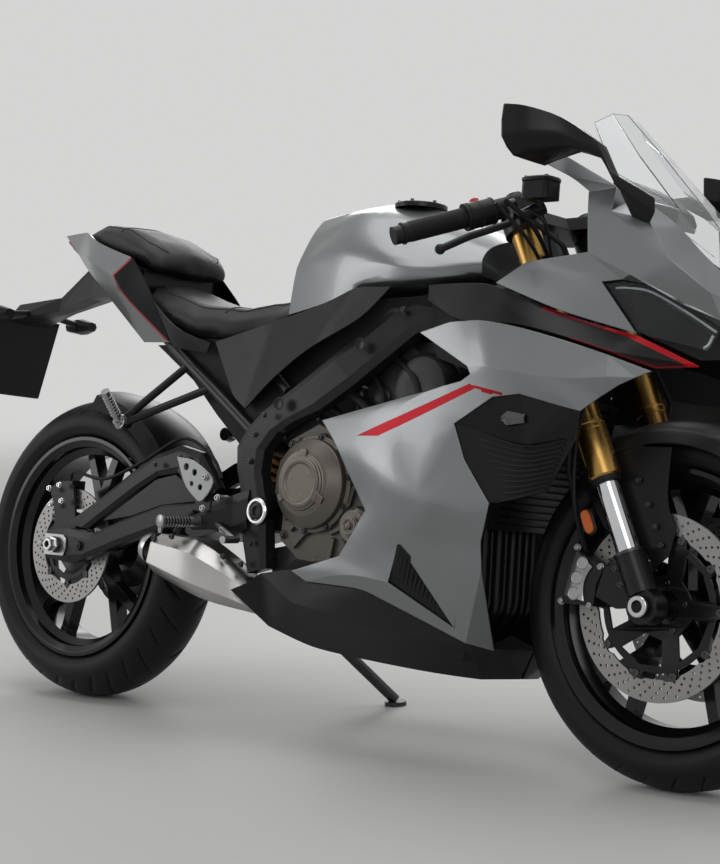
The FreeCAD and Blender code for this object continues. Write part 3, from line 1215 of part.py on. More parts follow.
marker = rings([
    [(-30, 0, 5), (-30, 5, 4), (-30, 7, 0), (-30, 5, -4), (-30, 0, -5)],
    [(-8, 0, 14), (-8, 12, 12), (-8, 16, 0), (-8, 12, -12), (-8, 0, -14)],
    [(26, 0, 8), (26, 9, 7), (26, 12, 0), (26, 9, -7), (26, 0, -8)],
])
marker.translate(at(515, -218, 592))
marker = max(marker.cut(intake).Solids, key=lambda solid: abs(solid.CenterOfMass.y))
feature("indicators", both_sides([marker, rear_blinker]))

BELLY = {
    "tail": (-137, 192, 263), "top_a": (-100, 192, 277), "top_b": (-65, 189, 298), "top_c": (11, 184, 310),
    "top_d": (49, 184, 296), "top_e": (168, 185, 293), "top_f": (210, 184, 285), "top_g": (405, 158, 217),
    "top_h": (422, 104, 206), "nose": (426, 4, 204), "nose_low": (404, 4, 152), "low_g": (380, 84, 150),
    "low_e": (268, 112, 154), "low_c": (90, 125, 166), "low_b": (10, 134, 177), "low_a": (-70, 152, 202),
    "keel_a": (-40, 4, 172), "keel_b": (90, 4, 158), "keel_c": (268, 4, 150),
    "side_b": (22, 196, 252), "side_c": (120, 194, 236), "side_d": (280, 178, 212),
}
BELLY_FACES = [
    "tail top_a low_a", "top_a top_b side_b low_a", "top_b top_c side_b", "top_c top_d side_b",
    "top_d top_e side_c side_b", "top_e top_f side_d side_c", "top_f top_g side_d", "top_g top_h low_g",
    "top_h nose nose_low low_g", "side_d top_g low_g low_e", "side_c side_d low_e low_c",
    "side_b side_c low_c low_b", "side_b low_b low_a", "low_a low_b keel_b keel_a", "low_b low_c keel_b",
    "low_c low_e keel_c keel_b", "low_e low_g nose_low keel_c",
]
belly = panel(BELLY, BELLY_FACES, wall).cut(side_fairing)
belly = max(belly.Solids, key=lambda solid: solid.Volume)
feature("belly_pans", both_sides([belly]))

# Windscreen: a blown sheet of clear plastic, its foot inside the nose cowls
SCREEN_ROWS = [
    [(549, 0, 1144), (546, 42, 1138), (536, 80, 1116)],
    [(628, 0, 1066), (624, 66, 1054), (606, 116, 1020)],
    [(722, 0, 966), (717, 80, 957), (684, 149, 963)],
    [(800, 0, 874), (790, 76, 873), (751, 135, 914)],
    [(838, 0, 833), (822, 68, 838), (785, 113, 873)],
]
screen_points = {}
screen_faces = []
for k, row in enumerate(SCREEN_ROWS):
    whole = [(x, -out, z) for x, out, z in reversed(row)] + row[1:]
    for j, (x, out, z) in enumerate(whole):
        screen_points[f"{k}_{j}"] = at(x, out, z)
        if k and j:
            screen_faces.append(f"{k - 1}_{j - 1} {k}_{j - 1} {k}_{j} {k - 1}_{j}")
screen = skin(screen_points, screen_faces, size("screen_wall"))
for piece in both_sides([nose_cowl, fin]):
    screen = screen.cut(piece)
screen = max(screen.Solids, key=lambda solid: solid.Volume)
feature("windscreen", [screen])

# Mirrors: a shell behind each glass, its arm and the foot on the cowl
MIRROR_RINGS = [
    [(565, 372, 1083), (568, 376, 1030), (572, 345, 1003), (572, 262, 1003), (568, 236, 1030), (562, 240, 1078)],
    [(600, 368, 1078), (603, 370, 1033), (606, 342, 1010), (606, 268, 1010), (603, 248, 1032), (598, 252, 1072)],
    [(650, 335, 1062), (652, 336, 1035), (654, 320, 1018), (654, 278, 1016), (652, 262, 1030), (648, 268, 1055)],
    [(688, 285, 1030), (690, 285, 1015), (691, 278, 1006), (691, 262, 1003), (690, 254, 1010), (688, 258, 1026)],
    [(700, 255, 985), (703, 256, 972), (705, 250, 964), (704, 236, 960), (701, 229, 966), (699, 233, 982)],
    [(744, 196, 952), (746, 196, 930), (736, 192, 914), (700, 186, 920), (694, 176, 944), (706, 184, 958)],
]
mirror_points = []
mirror_loops = []
for section in MIRROR_RINGS:
    mirror_loops.append(list(range(len(mirror_points), len(mirror_points) + len(section))))
    mirror_points += [at(x, -out, z) for x, out, z in section]
mirror = closed_loops(mirror_points, mirror_loops).cut(nose_cowl).cut(fin)
mirror = max(mirror.Solids, key=lambda solid: solid.Volume)
feature("mirrors", both_sides([mirror]))

# Instrument pod on the fairing stay, and the studs that carry the panels
def middle_of(table, names):
    """The middle of some named points of a panel's table: x, distance out and z."""
    places = [table[name] for name in names.split()]
    return [sum(numbers) / len(places) for numbers in zip(*places)]


COWL_STUD = middle_of(NOSE, "lamp_rear rim_b brow_b lamp_a")
STAY_TOP, STAY_LOW = COWL_STUD[2] + 12, COWL_STUD[2] - 12
stay = rings([
    [(445, 0, STAY_TOP), (445, 26, STAY_TOP), (445, 26, STAY_LOW), (445, 0, STAY_LOW)],
    [(720, 0, STAY_TOP), (720, 26, STAY_TOP), (720, 26, STAY_LOW), (720, 0, STAY_LOW)],
]).cut(steering_head)
stay = max(stay.Solids, key=lambda solid: solid.Volume)
pod = rings([
    [(578, 0, 1022), (578, 70, 1020), (584, 80, 990), (592, 70, 965), (592, 0, 962)],
    [(612, 0, 1004), (612, 74, 1002), (616, 84, 980), (620, 74, 955), (620, 0, 950)],
    [(655, 0, 972), (655, 64, 970), (657, 72, 955), (660, 60, 938), (660, 0, 936)],
])
pod_post = stud(at(630, 0, COWL_STUD[2]), at(630, 0, 980), [stay, pod], 14)
feature("instrument_pod", [pod])


def stud_pair(place, inner, trims):
    """Two studs across the machine: x, distance out and z of one, its inner end, and what it ends on."""
    x, out, z = place
    return both_sides([stud(at(x, -out, z), at(x, -inner, z), trims)])


def panel_studs(table, names, inner, trims):
    """Studs between the middle of some points of a panel and what carries the panel."""
    x, out, z = middle_of(table, names)
    return stud_pair((x, out + 12, z), inner, trims)


case, bank = crankcase.Shape, cylinders.Shape
fairing_studs = [stay, pod_post]
fairing_studs += panel_studs(NOSE, "lamp_rear rim_b brow_b lamp_a", 10, [nose_cowl, stay])
fairing_studs += panel_studs(MID_COWL, "rear top_a low_b low_a", 40, [mid_cowl, spar, steering_head])
fairing_studs += panel_studs(WING_AND_SIDE, "rear_a vent_b belly", 90, [side_fairing, case])
fairing_studs += panel_studs(WING_AND_SIDE, "duct_b duct_c crease_c", 140, [side_fairing, radiator.Shape])
fairing_studs += panel_studs(BELLY, "side_b side_c low_c low_b", 60, [belly, headers])
fairing_studs += panel_studs(TANK_COVER, "back seat low_a heel", 60, [tank_cover] + rails)
fairing_studs += panel_studs(TANK_COVER, "seat low_b low_a", 60, [tank_cover] + rails)
fairing_studs += panel_studs(UNDER_SEAT, "b c d e", 60, [under_seat, seat_tray])
fairing_studs += panel_studs(TAIL_COWL, "fold_a fold_b under back", 30, [tail_cowl, tail_core])
fairing_studs += panel_studs(TAIL_COWL, "front fold_b fold_c under", 40, [tail_cowl, tail_core])
fairing_studs += stud_pair((150, 150, 714), 100, [bank, spar])
fairing_studs += stud_pair((-102, 135, 328), 105, [case, pivot_plate])
fairing_studs += stud_pair((-90, 150, 568), 105, [case, pivot_plate])
feature("fairing_stay", fairing_studs)

# Footrests: the rider's bracket, heel plate, peg and pedal, and the passenger's stay and peg
bracket = ribbon([
    (-139, 452, -139, 378, 165, 12), (-178, 440, -168, 362, 168, 14), (-225, 410, -222, 372, 182, 14),
    (-262, 395, -262, 368, 190, 14),
], 3).cut(pivot_plate)
heel = slab([at(x, -178, z) for x, z in (
    (-325, 482), (-300, 500), (-262, 498), (-222, 455), (-226, 400), (-262, 384), (-268, 428),
)], 4).cut(bracket)
heel = max(heel.Solids, key=lambda solid: solid.Volume)
peg = rod(at(-248, -184, 384), at(-262, -268, 380), 11).cut(bracket)
peg = min(peg.Solids, key=lambda solid: solid.CenterOfMass.y)
pedal = rod(at(-200, -180, 382), at(-128, -200, 356), 6)
pedal = pedal.fuse(rod(at(-128, -196, 356), at(-125, -238, 354), 7))
pedal = pedal.cut(bracket)
pedal = max(pedal.Solids, key=lambda solid: solid.CenterOfMass.x)
hanger_boss = rod(at(-520, -138, 575), at(-520, -162, 575), 14)
stay_bars = [
    rod(at(-375, -117, 695), at(-520, -150, 580), 8), rod(at(-300, -125, 648), at(-520, -150, 572), 8),
]
passenger_stay = hanger_boss.fuse(stay_bars[0]).fuse(stay_bars[1]).cut(rails[0])
passenger_stay = max(passenger_stay.Solids, key=lambda solid: solid.Volume)
passenger_peg = rod(at(-524, -156, 572), at(-512, -214, 630), 9).cut(passenger_stay)
passenger_peg = min(passenger_peg.Solids, key=lambda solid: solid.CenterOfMass.y)
feature("footrests", both_sides([bracket, heel, peg, pedal, passenger_stay, passenger_peg]))

# Rear suspension strut with its spring, between the swingarm's beam and a bracket on the frame
STRUT_LOW, STRUT_TOP = at(-262, 0, 462), at(-165, 0, 606)
strut_axis = (STRUT_TOP - STRUT_LOW).normalize()
strut_side = Vector(0, 1, 0)
COILS = 6
COIL_RISE = 16
strut_end = (STRUT_TOP - STRUT_LOW).Length - 14
strut_profile = [(0, 14), (22, 14), (28, 20), (28, 26)]
for k in range(COILS):
    strut_profile += [(22, 30 + COIL_RISE * k), (28, 34 + COIL_RISE * k), (28, 40 + COIL_RISE * k)]
strut_profile += [(22, 30 + COIL_RISE * COILS), (22, strut_end), (0, strut_end)]
across_strut = strut_axis.cross(strut_side)
strut_points = [STRUT_LOW + across_strut * radius + strut_axis * along for radius, along in strut_profile]
strut = Part.Face(Part.makePolygon(strut_points + strut_points[:1])).revolve(STRUT_LOW, strut_axis, 360)
for eye in (STRUT_LOW, STRUT_TOP):
    strut = strut.fuse(rod(eye - strut_side * 14, eye + strut_side * 14, 15))
strut = strut.cut(beam)
lugs = []
strut_ends = ((STRUT_LOW, at(-275, 0, 420), [beam]), (STRUT_TOP, at(-145, 0, 540), cross_tubes))
for eye, foot_point, trims in strut_ends:
    for side in (-1, 1):
        lug = rod(eye + strut_side * (side * 14.3), eye + strut_side * (side * 22), 15)
        brace_point = foot_point + strut_side * (side * 18)
        lug = lug.fuse(rod(eye + strut_side * (side * 18.2), brace_point, 3.7))
        for piece in trims:
            lug = lug.cut(piece)
        lugs.append(min(lug.Solids, key=lambda solid: (solid.CenterOfMass - eye).Length))

feature("rear_strut", [strut] + lugs)

# Rear mudguard on the swingarm and the rear caliper on its plate
HUGGER = [(88, -25), (76, 4), (42, 14), (0, 18)]
hugger_points = {}
hugger_faces = []
hugger_sides = [(out, lift) for out, lift in HUGGER] + [(-out, lift) for out, lift in reversed(HUGGER[:-1])]
for k, angle in enumerate((84, 72, 60, 48, 33)):
    for j, (out, lift) in enumerate(hugger_sides):
        reach = size("rear_tyre_radius") + lift
        turn = math.radians(angle)
        hugger_points[f"{k}_{j}"] = REAR_AXLE + Vector(reach * math.cos(turn), out, reach * math.sin(turn))
        if k and j:
            hugger_faces.append(f"{k - 1}_{j - 1} {k}_{j - 1} {k}_{j} {k - 1}_{j}")
hugger = skin(hugger_points, hugger_faces, size("panel_wall"))
hugger_stud = stud(at(-480, -80, 484), at(-480, -112, 484), [hugger, brace], 5)
feature("rear_mudguard", [hugger] + both_sides([hugger_stud]))


def sector(inner, outer, start, end, depth):
    """A block between two radii and two angles about the rear axle, starting at y = 0."""
    middle = (start + end) / 2
    corners = [(inner, start), (inner, middle), (inner, end), (outer, end), (outer, middle), (outer, start)]
    return slab([
        REAR_AXLE + Vector(reach * math.cos(math.radians(turn)), 0, reach * math.sin(math.radians(turn)))
        for reach, turn in corners
    ], depth)


rear_caliper = sector(78, 137, 88, 120, 36)
rear_caliper.translate(Vector(0, -100, 0))
disc_room = rod(REAR_AXLE + Vector(0, -94, 0), REAR_AXLE + Vector(0, -78, 0), size("rear_disc_radius") + 5)
rear_caliper = rear_caliper.cut(disc_room)
caliper_plate = slab([REAR_AXLE + Vector(x, -100, z) for x, z in (
    (-24, -20), (24, -20), (30, 20), (8, 128), (-58, 112), (-34, 20),
)], 6)
caliper_plate = caliper_plate.cut(rod(REAR_AXLE - Vector(0, 120, 0), REAR_AXLE, 17 + size("fit_gap")))
rear_caliper = rear_caliper.fuse(caliper_plate)
feature("rear_caliper", rear_caliper.Solids)

# Brake hoses on the fork: one from the master cylinder to a joint on the lower yoke, one to each caliper
TO_STEERING = STEERING.inverse().multiply(AT_FRONT_AXLE)
caliper_body = caliper.Shape.copy()
caliper_body.Placement = TO_STEERING.multiply(caliper_body.Placement)
joint_block = Part.makeBox(16, 34, 16, Vector(size("fork_offset") + 5.2, -17, size("lower_yoke_place") + 4))
joint_block = joint_block.cut(lower.Shape)
hose = pipe([
    Vector(58, -10, -66), Vector(60, -30, -100), Vector(78, -100, -140), Vector(60, -150, -210),
    Vector(0, -146, -330), Vector(-44, -96, -405), Vector(-60, -84, -470),
], 4.5, 28)
hose = hose.cut(mirror_side([caliper_body])[0]).cut(joint_block)
hose = max(hose.Solids, key=lambda solid: solid.Volume)
supply = pipe([
    Vector(88, -176, 92), Vector(112, -128, 30), Vector(88, -80, -72), Vector(62, -14, -52),
], 4.5, 28)
supply = supply.cut(right_perch).cut(joint_block)
supply = max(supply.Solids, key=lambda solid: solid.Volume)
feature("brake_hoses", [joint_block, supply, hose] + mirror_side([hose]), STEERING)

# Side stand: it turns about a bolt in an ear under the left pivot plate; its foot is on the ground
STAND_PIVOT = at(-205, 100, 215)
STAND_FOOT = at(-95, 262, 45.6)
GROUND_UP = Vector(0, -math.sin(math.radians(LEAN)), math.cos(math.radians(LEAN)))
STAND_AXIS = Vector(0.1895, 0.649, 0.7368).normalize()
EYE, EAR = 8.0, 10.0


def on_bolt(distance):
    return STAND_PIVOT + STAND_AXIS * distance


ear_end = on_bolt(EYE + size("fit_gap") + EAR)
ear = rod(on_bolt(EYE + size("fit_gap")), ear_end, 18)
ear = ear.fuse(rod(on_bolt(EYE + 8), at(-124, 138, 306), 13))
ear = ear.cut(rod(on_bolt(-60), on_bolt(EYE + size("fit_gap")), 60)).cut(mirror_side([pivot_plate])[0])
ear = min(ear.Solids, key=lambda solid: (solid.CenterOfMass - ear_end).Length)
ear = ear.fuse(rod(on_bolt(-EYE - 8), on_bolt(EYE + 8), size("stud_radius")))
ear = ear.fuse(rod(on_bolt(-EYE - 8), on_bolt(-EYE - size("fit_gap")), 11))
frame_pieces = [steering_head] + both_sides([pivot_plate, spar] + rails) + cross_tubes + [ear]
feature("main_frame", frame_pieces)
stand = rod(on_bolt(-EYE), on_bolt(EYE), 17)
stand = stand.fuse(rod(STAND_PIVOT, STAND_FOOT + GROUND_UP * 10, size("stand_tube_radius")))
stand = stand.fuse(rod(STAND_FOOT, STAND_FOOT + GROUND_UP * 8, 22))
stand = stand.cut(rod(on_bolt(-60), on_bolt(-EYE), 40)).cut(rod(on_bolt(EYE), on_bolt(60), 40))
stand = stand.cut(rod(on_bolt(-60), on_bolt(60), size("stud_radius") + size("fit_gap")))
stand = max(stand.Solids, key=lambda solid: solid.Volume)
feature("side_stand", [stand])


# Everything is built, checked, leaned over onto the stand and written
doc.recompute()
for item in doc.Objects:
    if "Invalid" in item.State or "Error" in item.State:
        raise RuntimeError(f"{item.Label} did not build")
FAR_OFF = Vector(9000, 7000, 8000)
for item, frame in NODES:
    if item.Shape.isNull() or not item.Shape.isValid() or item.Shape.Volume <= 0:
        raise RuntimeError(f"{item.Label} has no valid shape")
    if any(solid.isInside(FAR_OFF, 0.01, False) for solid in item.Shape.Solids):
        raise RuntimeError(f"{item.Label} has a solid that is inside out")

lean = Placement(Vector(), Rotation(Vector(1, 0, 0), -LEAN))
for item, frame in NODES:
    item.Placement = lean.multiply(frame)
box = FreeCAD.BoundBox()
for item, frame in NODES:
    box.add(item.Shape.BoundBox)
settle = Placement(Vector(-box.Center.x, -box.Center.y, -box.ZMin), Rotation())
for item, frame in NODES:
    item.Placement = settle.multiply(item.Placement)
doc.recompute()

os.makedirs("parts", exist_ok=True)
for item, frame in NODES:
    item.Shape.exportStep(f"parts/{item.Label}.step")
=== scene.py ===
import json
import math

import bmesh
import bpy
from mathutils import Matrix, Vector
from mathutils.bvhtree import BVHTree


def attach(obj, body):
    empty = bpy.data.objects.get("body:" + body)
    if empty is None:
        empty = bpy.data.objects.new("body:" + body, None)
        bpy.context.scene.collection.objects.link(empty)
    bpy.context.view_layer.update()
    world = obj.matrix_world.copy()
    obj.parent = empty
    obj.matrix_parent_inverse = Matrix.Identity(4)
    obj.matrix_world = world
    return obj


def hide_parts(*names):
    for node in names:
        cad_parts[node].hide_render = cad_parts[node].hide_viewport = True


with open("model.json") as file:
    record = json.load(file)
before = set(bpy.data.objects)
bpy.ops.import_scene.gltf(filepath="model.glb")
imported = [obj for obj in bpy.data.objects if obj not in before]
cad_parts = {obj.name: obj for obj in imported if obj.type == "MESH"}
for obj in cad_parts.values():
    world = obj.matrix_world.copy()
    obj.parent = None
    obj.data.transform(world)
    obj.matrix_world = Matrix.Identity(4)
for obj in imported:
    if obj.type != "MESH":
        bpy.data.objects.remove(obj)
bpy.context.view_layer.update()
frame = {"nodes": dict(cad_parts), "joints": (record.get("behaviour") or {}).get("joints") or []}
nodes = frame["nodes"]

# The machine's own axes: X forward, Y along the rear axle to the rider's left, Z up its middle
# It leans on its side stand, so places are millimetres on the upright machine: forward, out to the right, up.
REAR_RADIUS, FRONT_RADIUS, WHEEL_BASE = 315.0, 300.0, 1450.0
rear_spin = next(joint for joint in frame["joints"] if joint["name"] == "rear_wheel_spin")
forward_axis = Vector((1, 0, 0))
across_axis = Vector(rear_spin["axis"])
up_axis = forward_axis.cross(across_axis)
ground_middle = Vector(rear_spin["pos_m"]) + forward_axis * WHEEL_BASE / 2000 - up_axis * REAR_RADIUS / 1000
upright = Matrix((forward_axis, across_axis, up_axis)).transposed().to_4x4()
upright.translation = ground_middle


def on_bike(x, out, z):
    """A place on the upright machine: millimetres forward, out to the right, and up from the ground."""
    return upright @ (Vector((x, -out, z)) / 1000)


# Shared surface effects: rounded edges that catch the light, lightened with a painted highlight colour, and a fine
# grain with broad, faint handling marks
# Each is one node group whose sockets take the values of the finish that uses it.
def new_group(name, inputs, outputs):
    """An empty node group: its tree, the sockets that come in and the node that leads out."""
    group = bpy.data.node_groups.new(name, "ShaderNodeTree")
    for label, kind, value in inputs:
        socket = group.interface.new_socket(label, in_out="INPUT", socket_type="NodeSocket" + kind)
        socket.default_value = value
    for label, kind in outputs:
        group.interface.new_socket(label, in_out="OUTPUT", socket_type="NodeSocket" + kind)
    return group, group.nodes.new("NodeGroupInput").outputs, group.nodes.new("NodeGroupOutput")


def feed(tree, node, values):
    """Sets a node's inputs: a socket is linked to its input, anything else is a plain value."""
    for name, value in values.items():
        if isinstance(value, bpy.types.NodeSocket):
            tree.links.new(value, node.inputs[name])
        else:
            node.inputs[name].default_value = value


def node_in(tree, kind, values=None, **settings):
    """A new shader node, with its settings and inputs; gives its outputs."""
    made = tree.nodes.new("ShaderNode" + kind)
    for name, value in settings.items():
        setattr(made, name, value)
    feed(tree, made, values or {})
    return made.outputs


def grouped(tree, group, **values):
    """A shared effect placed in a material, with its values."""
    return node_in(tree, "Group", values, node_tree=group)


soft_edge, given, leave = new_group(
    "soft_edge", [("Radius", "Float", 0.002)], [("Normal", "Vector"), ("Edge", "Float")]
)
rounded = node_in(soft_edge, "Bevel", {"Radius": given["Radius"]}, samples=4)
facing = node_in(soft_edge, "NewGeometry")
likeness = node_in(soft_edge, "VectorMath", {0: rounded["Normal"], 1: facing["Normal"]}, operation="DOT_PRODUCT")
# The Edge mask marks where the rounded normal turns from the face's own: the edges that finishes lighten as a painted
# highlight
edge_highlight = node_in(soft_edge, "MapRange", {"Value": likeness["Value"], "From Min": 0.995, "From Max": 0.90})
feed(soft_edge, leave, {"Normal": rounded["Normal"], "Edge": edge_highlight["Result"]})

grain, given, leave = new_group(
    "grain", [("Scale", "Float", 900.0), ("Stretch", "Vector", (1, 1, 1))], [("Height", "Float"), ("Mask", "Float")]
)
where = node_in(grain, "TexCoord")["Object"]
stretched = node_in(grain, "VectorMath", {0: where, 1: given["Stretch"]}, operation="MULTIPLY")
fine = node_in(grain, "TexNoise", {"Vector": stretched["Vector"], "Scale": given["Scale"], "Detail": 3})
broad = node_in(grain, "TexNoise", {"Vector": where, "Scale": 14, "Detail": 4})
feed(grain, leave, {"Height": fine["Fac"], "Mask": broad["Fac"]})


GLOSS_SPREAD = 0.06


def new_material(name):
    """A new material: itself, its node tree and its shader."""
    material = bpy.data.materials.new(name)
    material.use_nodes = True
    return material, material.node_tree, material.node_tree.nodes["Principled BSDF"]


def finish(name, colour, roughness, metallic=0.0, edge=0.0015, scale=900.0, depth=0.0001, stretch=(1, 1, 1),
           edge_highlight_colour=None, mottle=0.12, coat=0.0, gleam=0.5):
    """A finish: one colour with slight mottling, its gloss, softened edges lightened by a painted highlight, and a
    grain of its own scale.
    """
    material, tree, shader = new_material(name)
    material.diffuse_color = (*colour, 1)
    edges = grouped(tree, soft_edge, Radius=edge)
    texture = grouped(tree, grain, Scale=scale, Stretch=stretch)
    shade = node_in(tree, "Mix", {
        "Factor": texture["Mask"], "A": (*[channel * (1 - mottle) for channel in colour], 1),
        "B": (*[min(1, channel * (1 + mottle)) for channel in colour], 1),
    }, data_type="RGBA")
    # Painted highlight: the edges are mixed towards a lighter edge colour
    highlighted_edges = node_in(tree, "Mix", {
        "Factor": edges["Edge"], "A": shade["Result"], "B": (*(edge_highlight_colour or colour), 1),
    }, data_type="RGBA")
    gloss = node_in(tree, "MapRange", {
        "Value": texture["Mask"], "To Min": max(0.02, roughness - GLOSS_SPREAD), "To Max": roughness + GLOSS_SPREAD,
    })
    bump = node_in(tree, "Bump", {
        "Strength": 0.6, "Distance": depth, "Height": texture["Height"], "Normal": edges["Normal"],
    })
    feed(tree, shader, {
        "Base Color": highlighted_edges["Result"], "Roughness": gloss["Result"], "Metallic": metallic, "Coat Weight": coat,
        "Coat Roughness": 0.06, "Specular IOR Level": gleam, "Normal": bump["Normal"],
    })
    return material


# Tyres: soft black road rubber, moulded with slanted rain grooves on each shoulder and fine rings on the walls
# They sit on the rims' beads and turn with the wheels.
FRONT_PLACE = Vector((WHEEL_BASE / 2, 0, FRONT_RADIUS))
REAR_PLACE = Vector((-WHEEL_BASE / 2, 0, REAR_RADIUS))
TREAD_END, TREAD_STEPS, WALL_STEPS = math.radians(58), 16, 12
GROOVE_MARKS, GROOVE_DEPTH, LONG_GROOVE, SHORT_GROOVE = [0, 0.8, 3.6, 4.4], 3.4, range(2, 14), range(8, 15)
WALL_RINGS, RING_HEIGHT = (5, 9), 0.5
BEAD_SEAT, BEAD_TOE = 235.0, 229.0
rubber = finish("tyre_rubber", (0.008, 0.008, 0.0084), 0.5, scale=420, depth=0.0002, edge=0.001, mottle=0.25,
                gleam=0.2)


def as_piece(name, mesh, body, material):
    """A mesh as a piece of the scene, finished and riding on a body."""
    mesh.materials.append(material)
    piece = bpy.data.objects.new(name, mesh)
    bpy.context.scene.collection.objects.link(piece)
    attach(piece, body)
    return piece


def piece_from(name, points, faces, body, material):
    """A flat-faced mesh piece made from its points and faces."""
    mesh = bpy.data.meshes.new(name)
    mesh.from_pydata([tuple(point) for point in points], [], faces)
    return as_piece(name, mesh, body, material)


def tyre(name, node, body, axle, radius, half, crown, bead_half, units, slant):
    """A ring whose columns lean with the grooves, so that a groove is a pair of columns pressed inwards."""
    rows = [crown * TREAD_END * k / TREAD_STEPS for k in range(TREAD_STEPS + 1)]
    top = Vector((radius - crown + crown * math.cos(TREAD_END), crown * math.sin(TREAD_END)))
    belly = Vector((radius - 0.8 * half, half + 1))
    foot = Vector((BEAD_SEAT, bead_half))
    shares = [k / WALL_STEPS for k in range(1, WALL_STEPS + 1)]
    wall = [top * (1 - t) ** 2 + belly * 2 * t * (1 - t) + foot * t ** 2 for t in shares]
    pitch = 2 * math.pi * radius / units
    last = GROOVE_MARKS[-1]
    marks = GROOVE_MARKS + [last + (pitch / 2 - last) * k / 4 for k in range(1, 4)]
    columns = []
    for unit in range(units):
        for k, mark in enumerate(marks):
            columns.append((unit * pitch + mark, "right" if k in (1, 2) else ""))
            columns.append((unit * pitch + pitch / 2 + mark, "left" if k in (1, 2) else ""))
    columns.sort()
    points = []
    for place, groove in columns:
        column = []
        for side, own in ((-1, "left"), (1, "right")):
            profile = []
            for k, arc in enumerate(rows):
                pressed = groove and k in (LONG_GROOVE if groove == own else SHORT_GROOVE)
                reach = crown - (GROOVE_DEPTH if pressed else 0)
                profile.append((
                    radius - crown + reach * math.cos(arc / crown), reach * math.sin(arc / crown),
                    place + slant * (arc / rows[-1]) ** 1.35,
                ))
            for k, spot in enumerate(wall):
                profile.append((spot.x, spot.y + (RING_HEIGHT if k in WALL_RINGS else 0), place + slant))
            profile.append((BEAD_TOE, bead_half - 7, place + slant))
            column += profile if side > 0 else profile[:0:-1]
        for k, (reach, out, along) in enumerate(column):
            left = k < len(column) // 2
            turn = along / radius
            points.append(on_bike(
                axle.x + reach * math.cos(turn), out if left else -out, axle.z + reach * math.sin(turn)
            ))
    width = len(points) // len(columns)
    faces = []
    for j in range(len(columns)):
        after = (j + 1) % len(columns)
        for k in range(width - 1):
            faces.append((j * width + k, j * width + k + 1, after * width + k + 1, after * width + k))
    made = piece_from(name, points, faces, body, rubber)
    made.data.shade_smooth()
    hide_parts(node)


tyre("front_tread", "front_tyre", "front_wheel", FRONT_PLACE, FRONT_RADIUS, 60, 60, 44.2, 16, 46)
tyre("rear_tread", "rear_tyre", "rear_wheel", REAR_PLACE, REAR_RADIUS, 80, 84, 61.2, 17, 62)


# Wheels: cast alloy in gloss black, with a rubber valve each
# The wheel is one casting; its valve stands in a hole of the barrel.
gloss_black = finish("gloss_black_paint", (0.005, 0.005, 0.0052), 0.16, edge=0.002, depth=0.00003,
                     edge_highlight_colour=(0.012, 0.012, 0.012), gleam=0.3)
satin_black = finish("satin_black_paint", (0.008, 0.008, 0.0084), 0.32, edge=0.002, depth=0.00005,
                     edge_highlight_colour=(0.022, 0.022, 0.023), gleam=0.25)
black_rubber = finish("moulded_rubber", (0.008, 0.008, 0.008), 0.5, scale=600, depth=0.0003, gleam=0.2)
bare_alloy = finish("satin_alloy", (0.36, 0.36, 0.365), 0.34, metallic=1.0, edge=0.0015)
dark_steel = finish("dark_plated_steel", (0.07, 0.07, 0.073), 0.34, metallic=1.0, edge=0.001)
bright = finish("bright_plated_steel", (0.55, 0.55, 0.56), 0.2, metallic=1.0, edge=0.0008, depth=0.00002)
SHARP_FOLD = math.radians(35)


def finish_nodes(material, *names):
    """Gives CAD pieces a finish."""
    for name in names:
        mesh = nodes[name].data
        if not mesh.materials:
            mesh.materials.append(material)
        for slot in range(len(mesh.materials)):
            mesh.materials[slot] = material


def ring_of(work, middle, side, other, radius, steps):
    """Adds a ring of points round a place, in the plane of two directions; its radius is in millimetres."""
    turns = [2 * math.pi * k / steps for k in range(steps)]
    return [
        work.verts.new(middle + (side * math.cos(turn) + other * math.sin(turn)) * radius / 1000) for turn in turns
    ]


def stack(work, rings, first_end=True, last_end=True):
    """Adds the faces from each ring of points to the next, and a face on each end where it is wanted."""
    for near, far in zip(rings, rings[1:]):
        steps = max(len(near), len(far))
        for k in range(steps):
            after = (k + 1) % steps
            corners = (near[k % len(near)], near[after % len(near)], far[after % len(far)], far[k % len(far)])
            corners = list(dict.fromkeys(corners))
            if len(corners) > 2:
                work.faces.new(corners)
    if first_end:
        work.faces.new(rings[0][::-1])
    if last_end:
        work.faces.new(rings[-1])


def turned_piece(work, place, axis, profile, steps=16):
    """Adds a turned shape: pairs of height along an axis and radius, in millimetres, swept round the axis."""
    axis = axis.normalized()
    side = axis.orthogonal().normalized()
    stack(work, [
        ring_of(work, place + axis * height / 1000, side, axis.cross(side), radius, steps if radius > 0 else 1)
        for height, radius in profile
    ], False, False)


def finished(name, work, body, material):
    """One mesh piece from the gathered shapes, with its sharp folds kept."""
    bmesh.ops.recalc_face_normals(work, faces=work.faces)
    for edge in work.edges:
        edge.smooth = len(edge.link_faces) == 2 and edge.calc_face_angle(0) < SHARP_FOLD
    for face in work.faces:
        face.smooth = True
    mesh = bpy.data.meshes.new(name)
    work.to_mesh(mesh)
    work.free()
    return as_piece(name, mesh, body, material)


finish_nodes(gloss_black, "front_rim", "rear_rim")
finish_nodes(satin_black, "upper_yoke", "lower_yoke", "clip_on_bars", "swingarm", "fork_feet")
for name, body, axle in (("front_valve", "front_wheel", FRONT_PLACE), ("rear_valve", "rear_wheel", REAR_PLACE)):
    work = bmesh.new()
    slope, reach = math.radians(52), 205
    place = on_bike(axle.x + reach * math.cos(slope), 20, axle.z + reach * math.sin(slope))
    turned_piece(work, place, forward_axis * math.cos(slope) - up_axis * math.sin(slope), [
        (-14, 5.5), (4, 5), (8, 3.5), (20, 3.2), (20.5, 3.9), (31, 3.9), (32, 0),
    ], 10)
    finished(name, work, body, black_rubber)


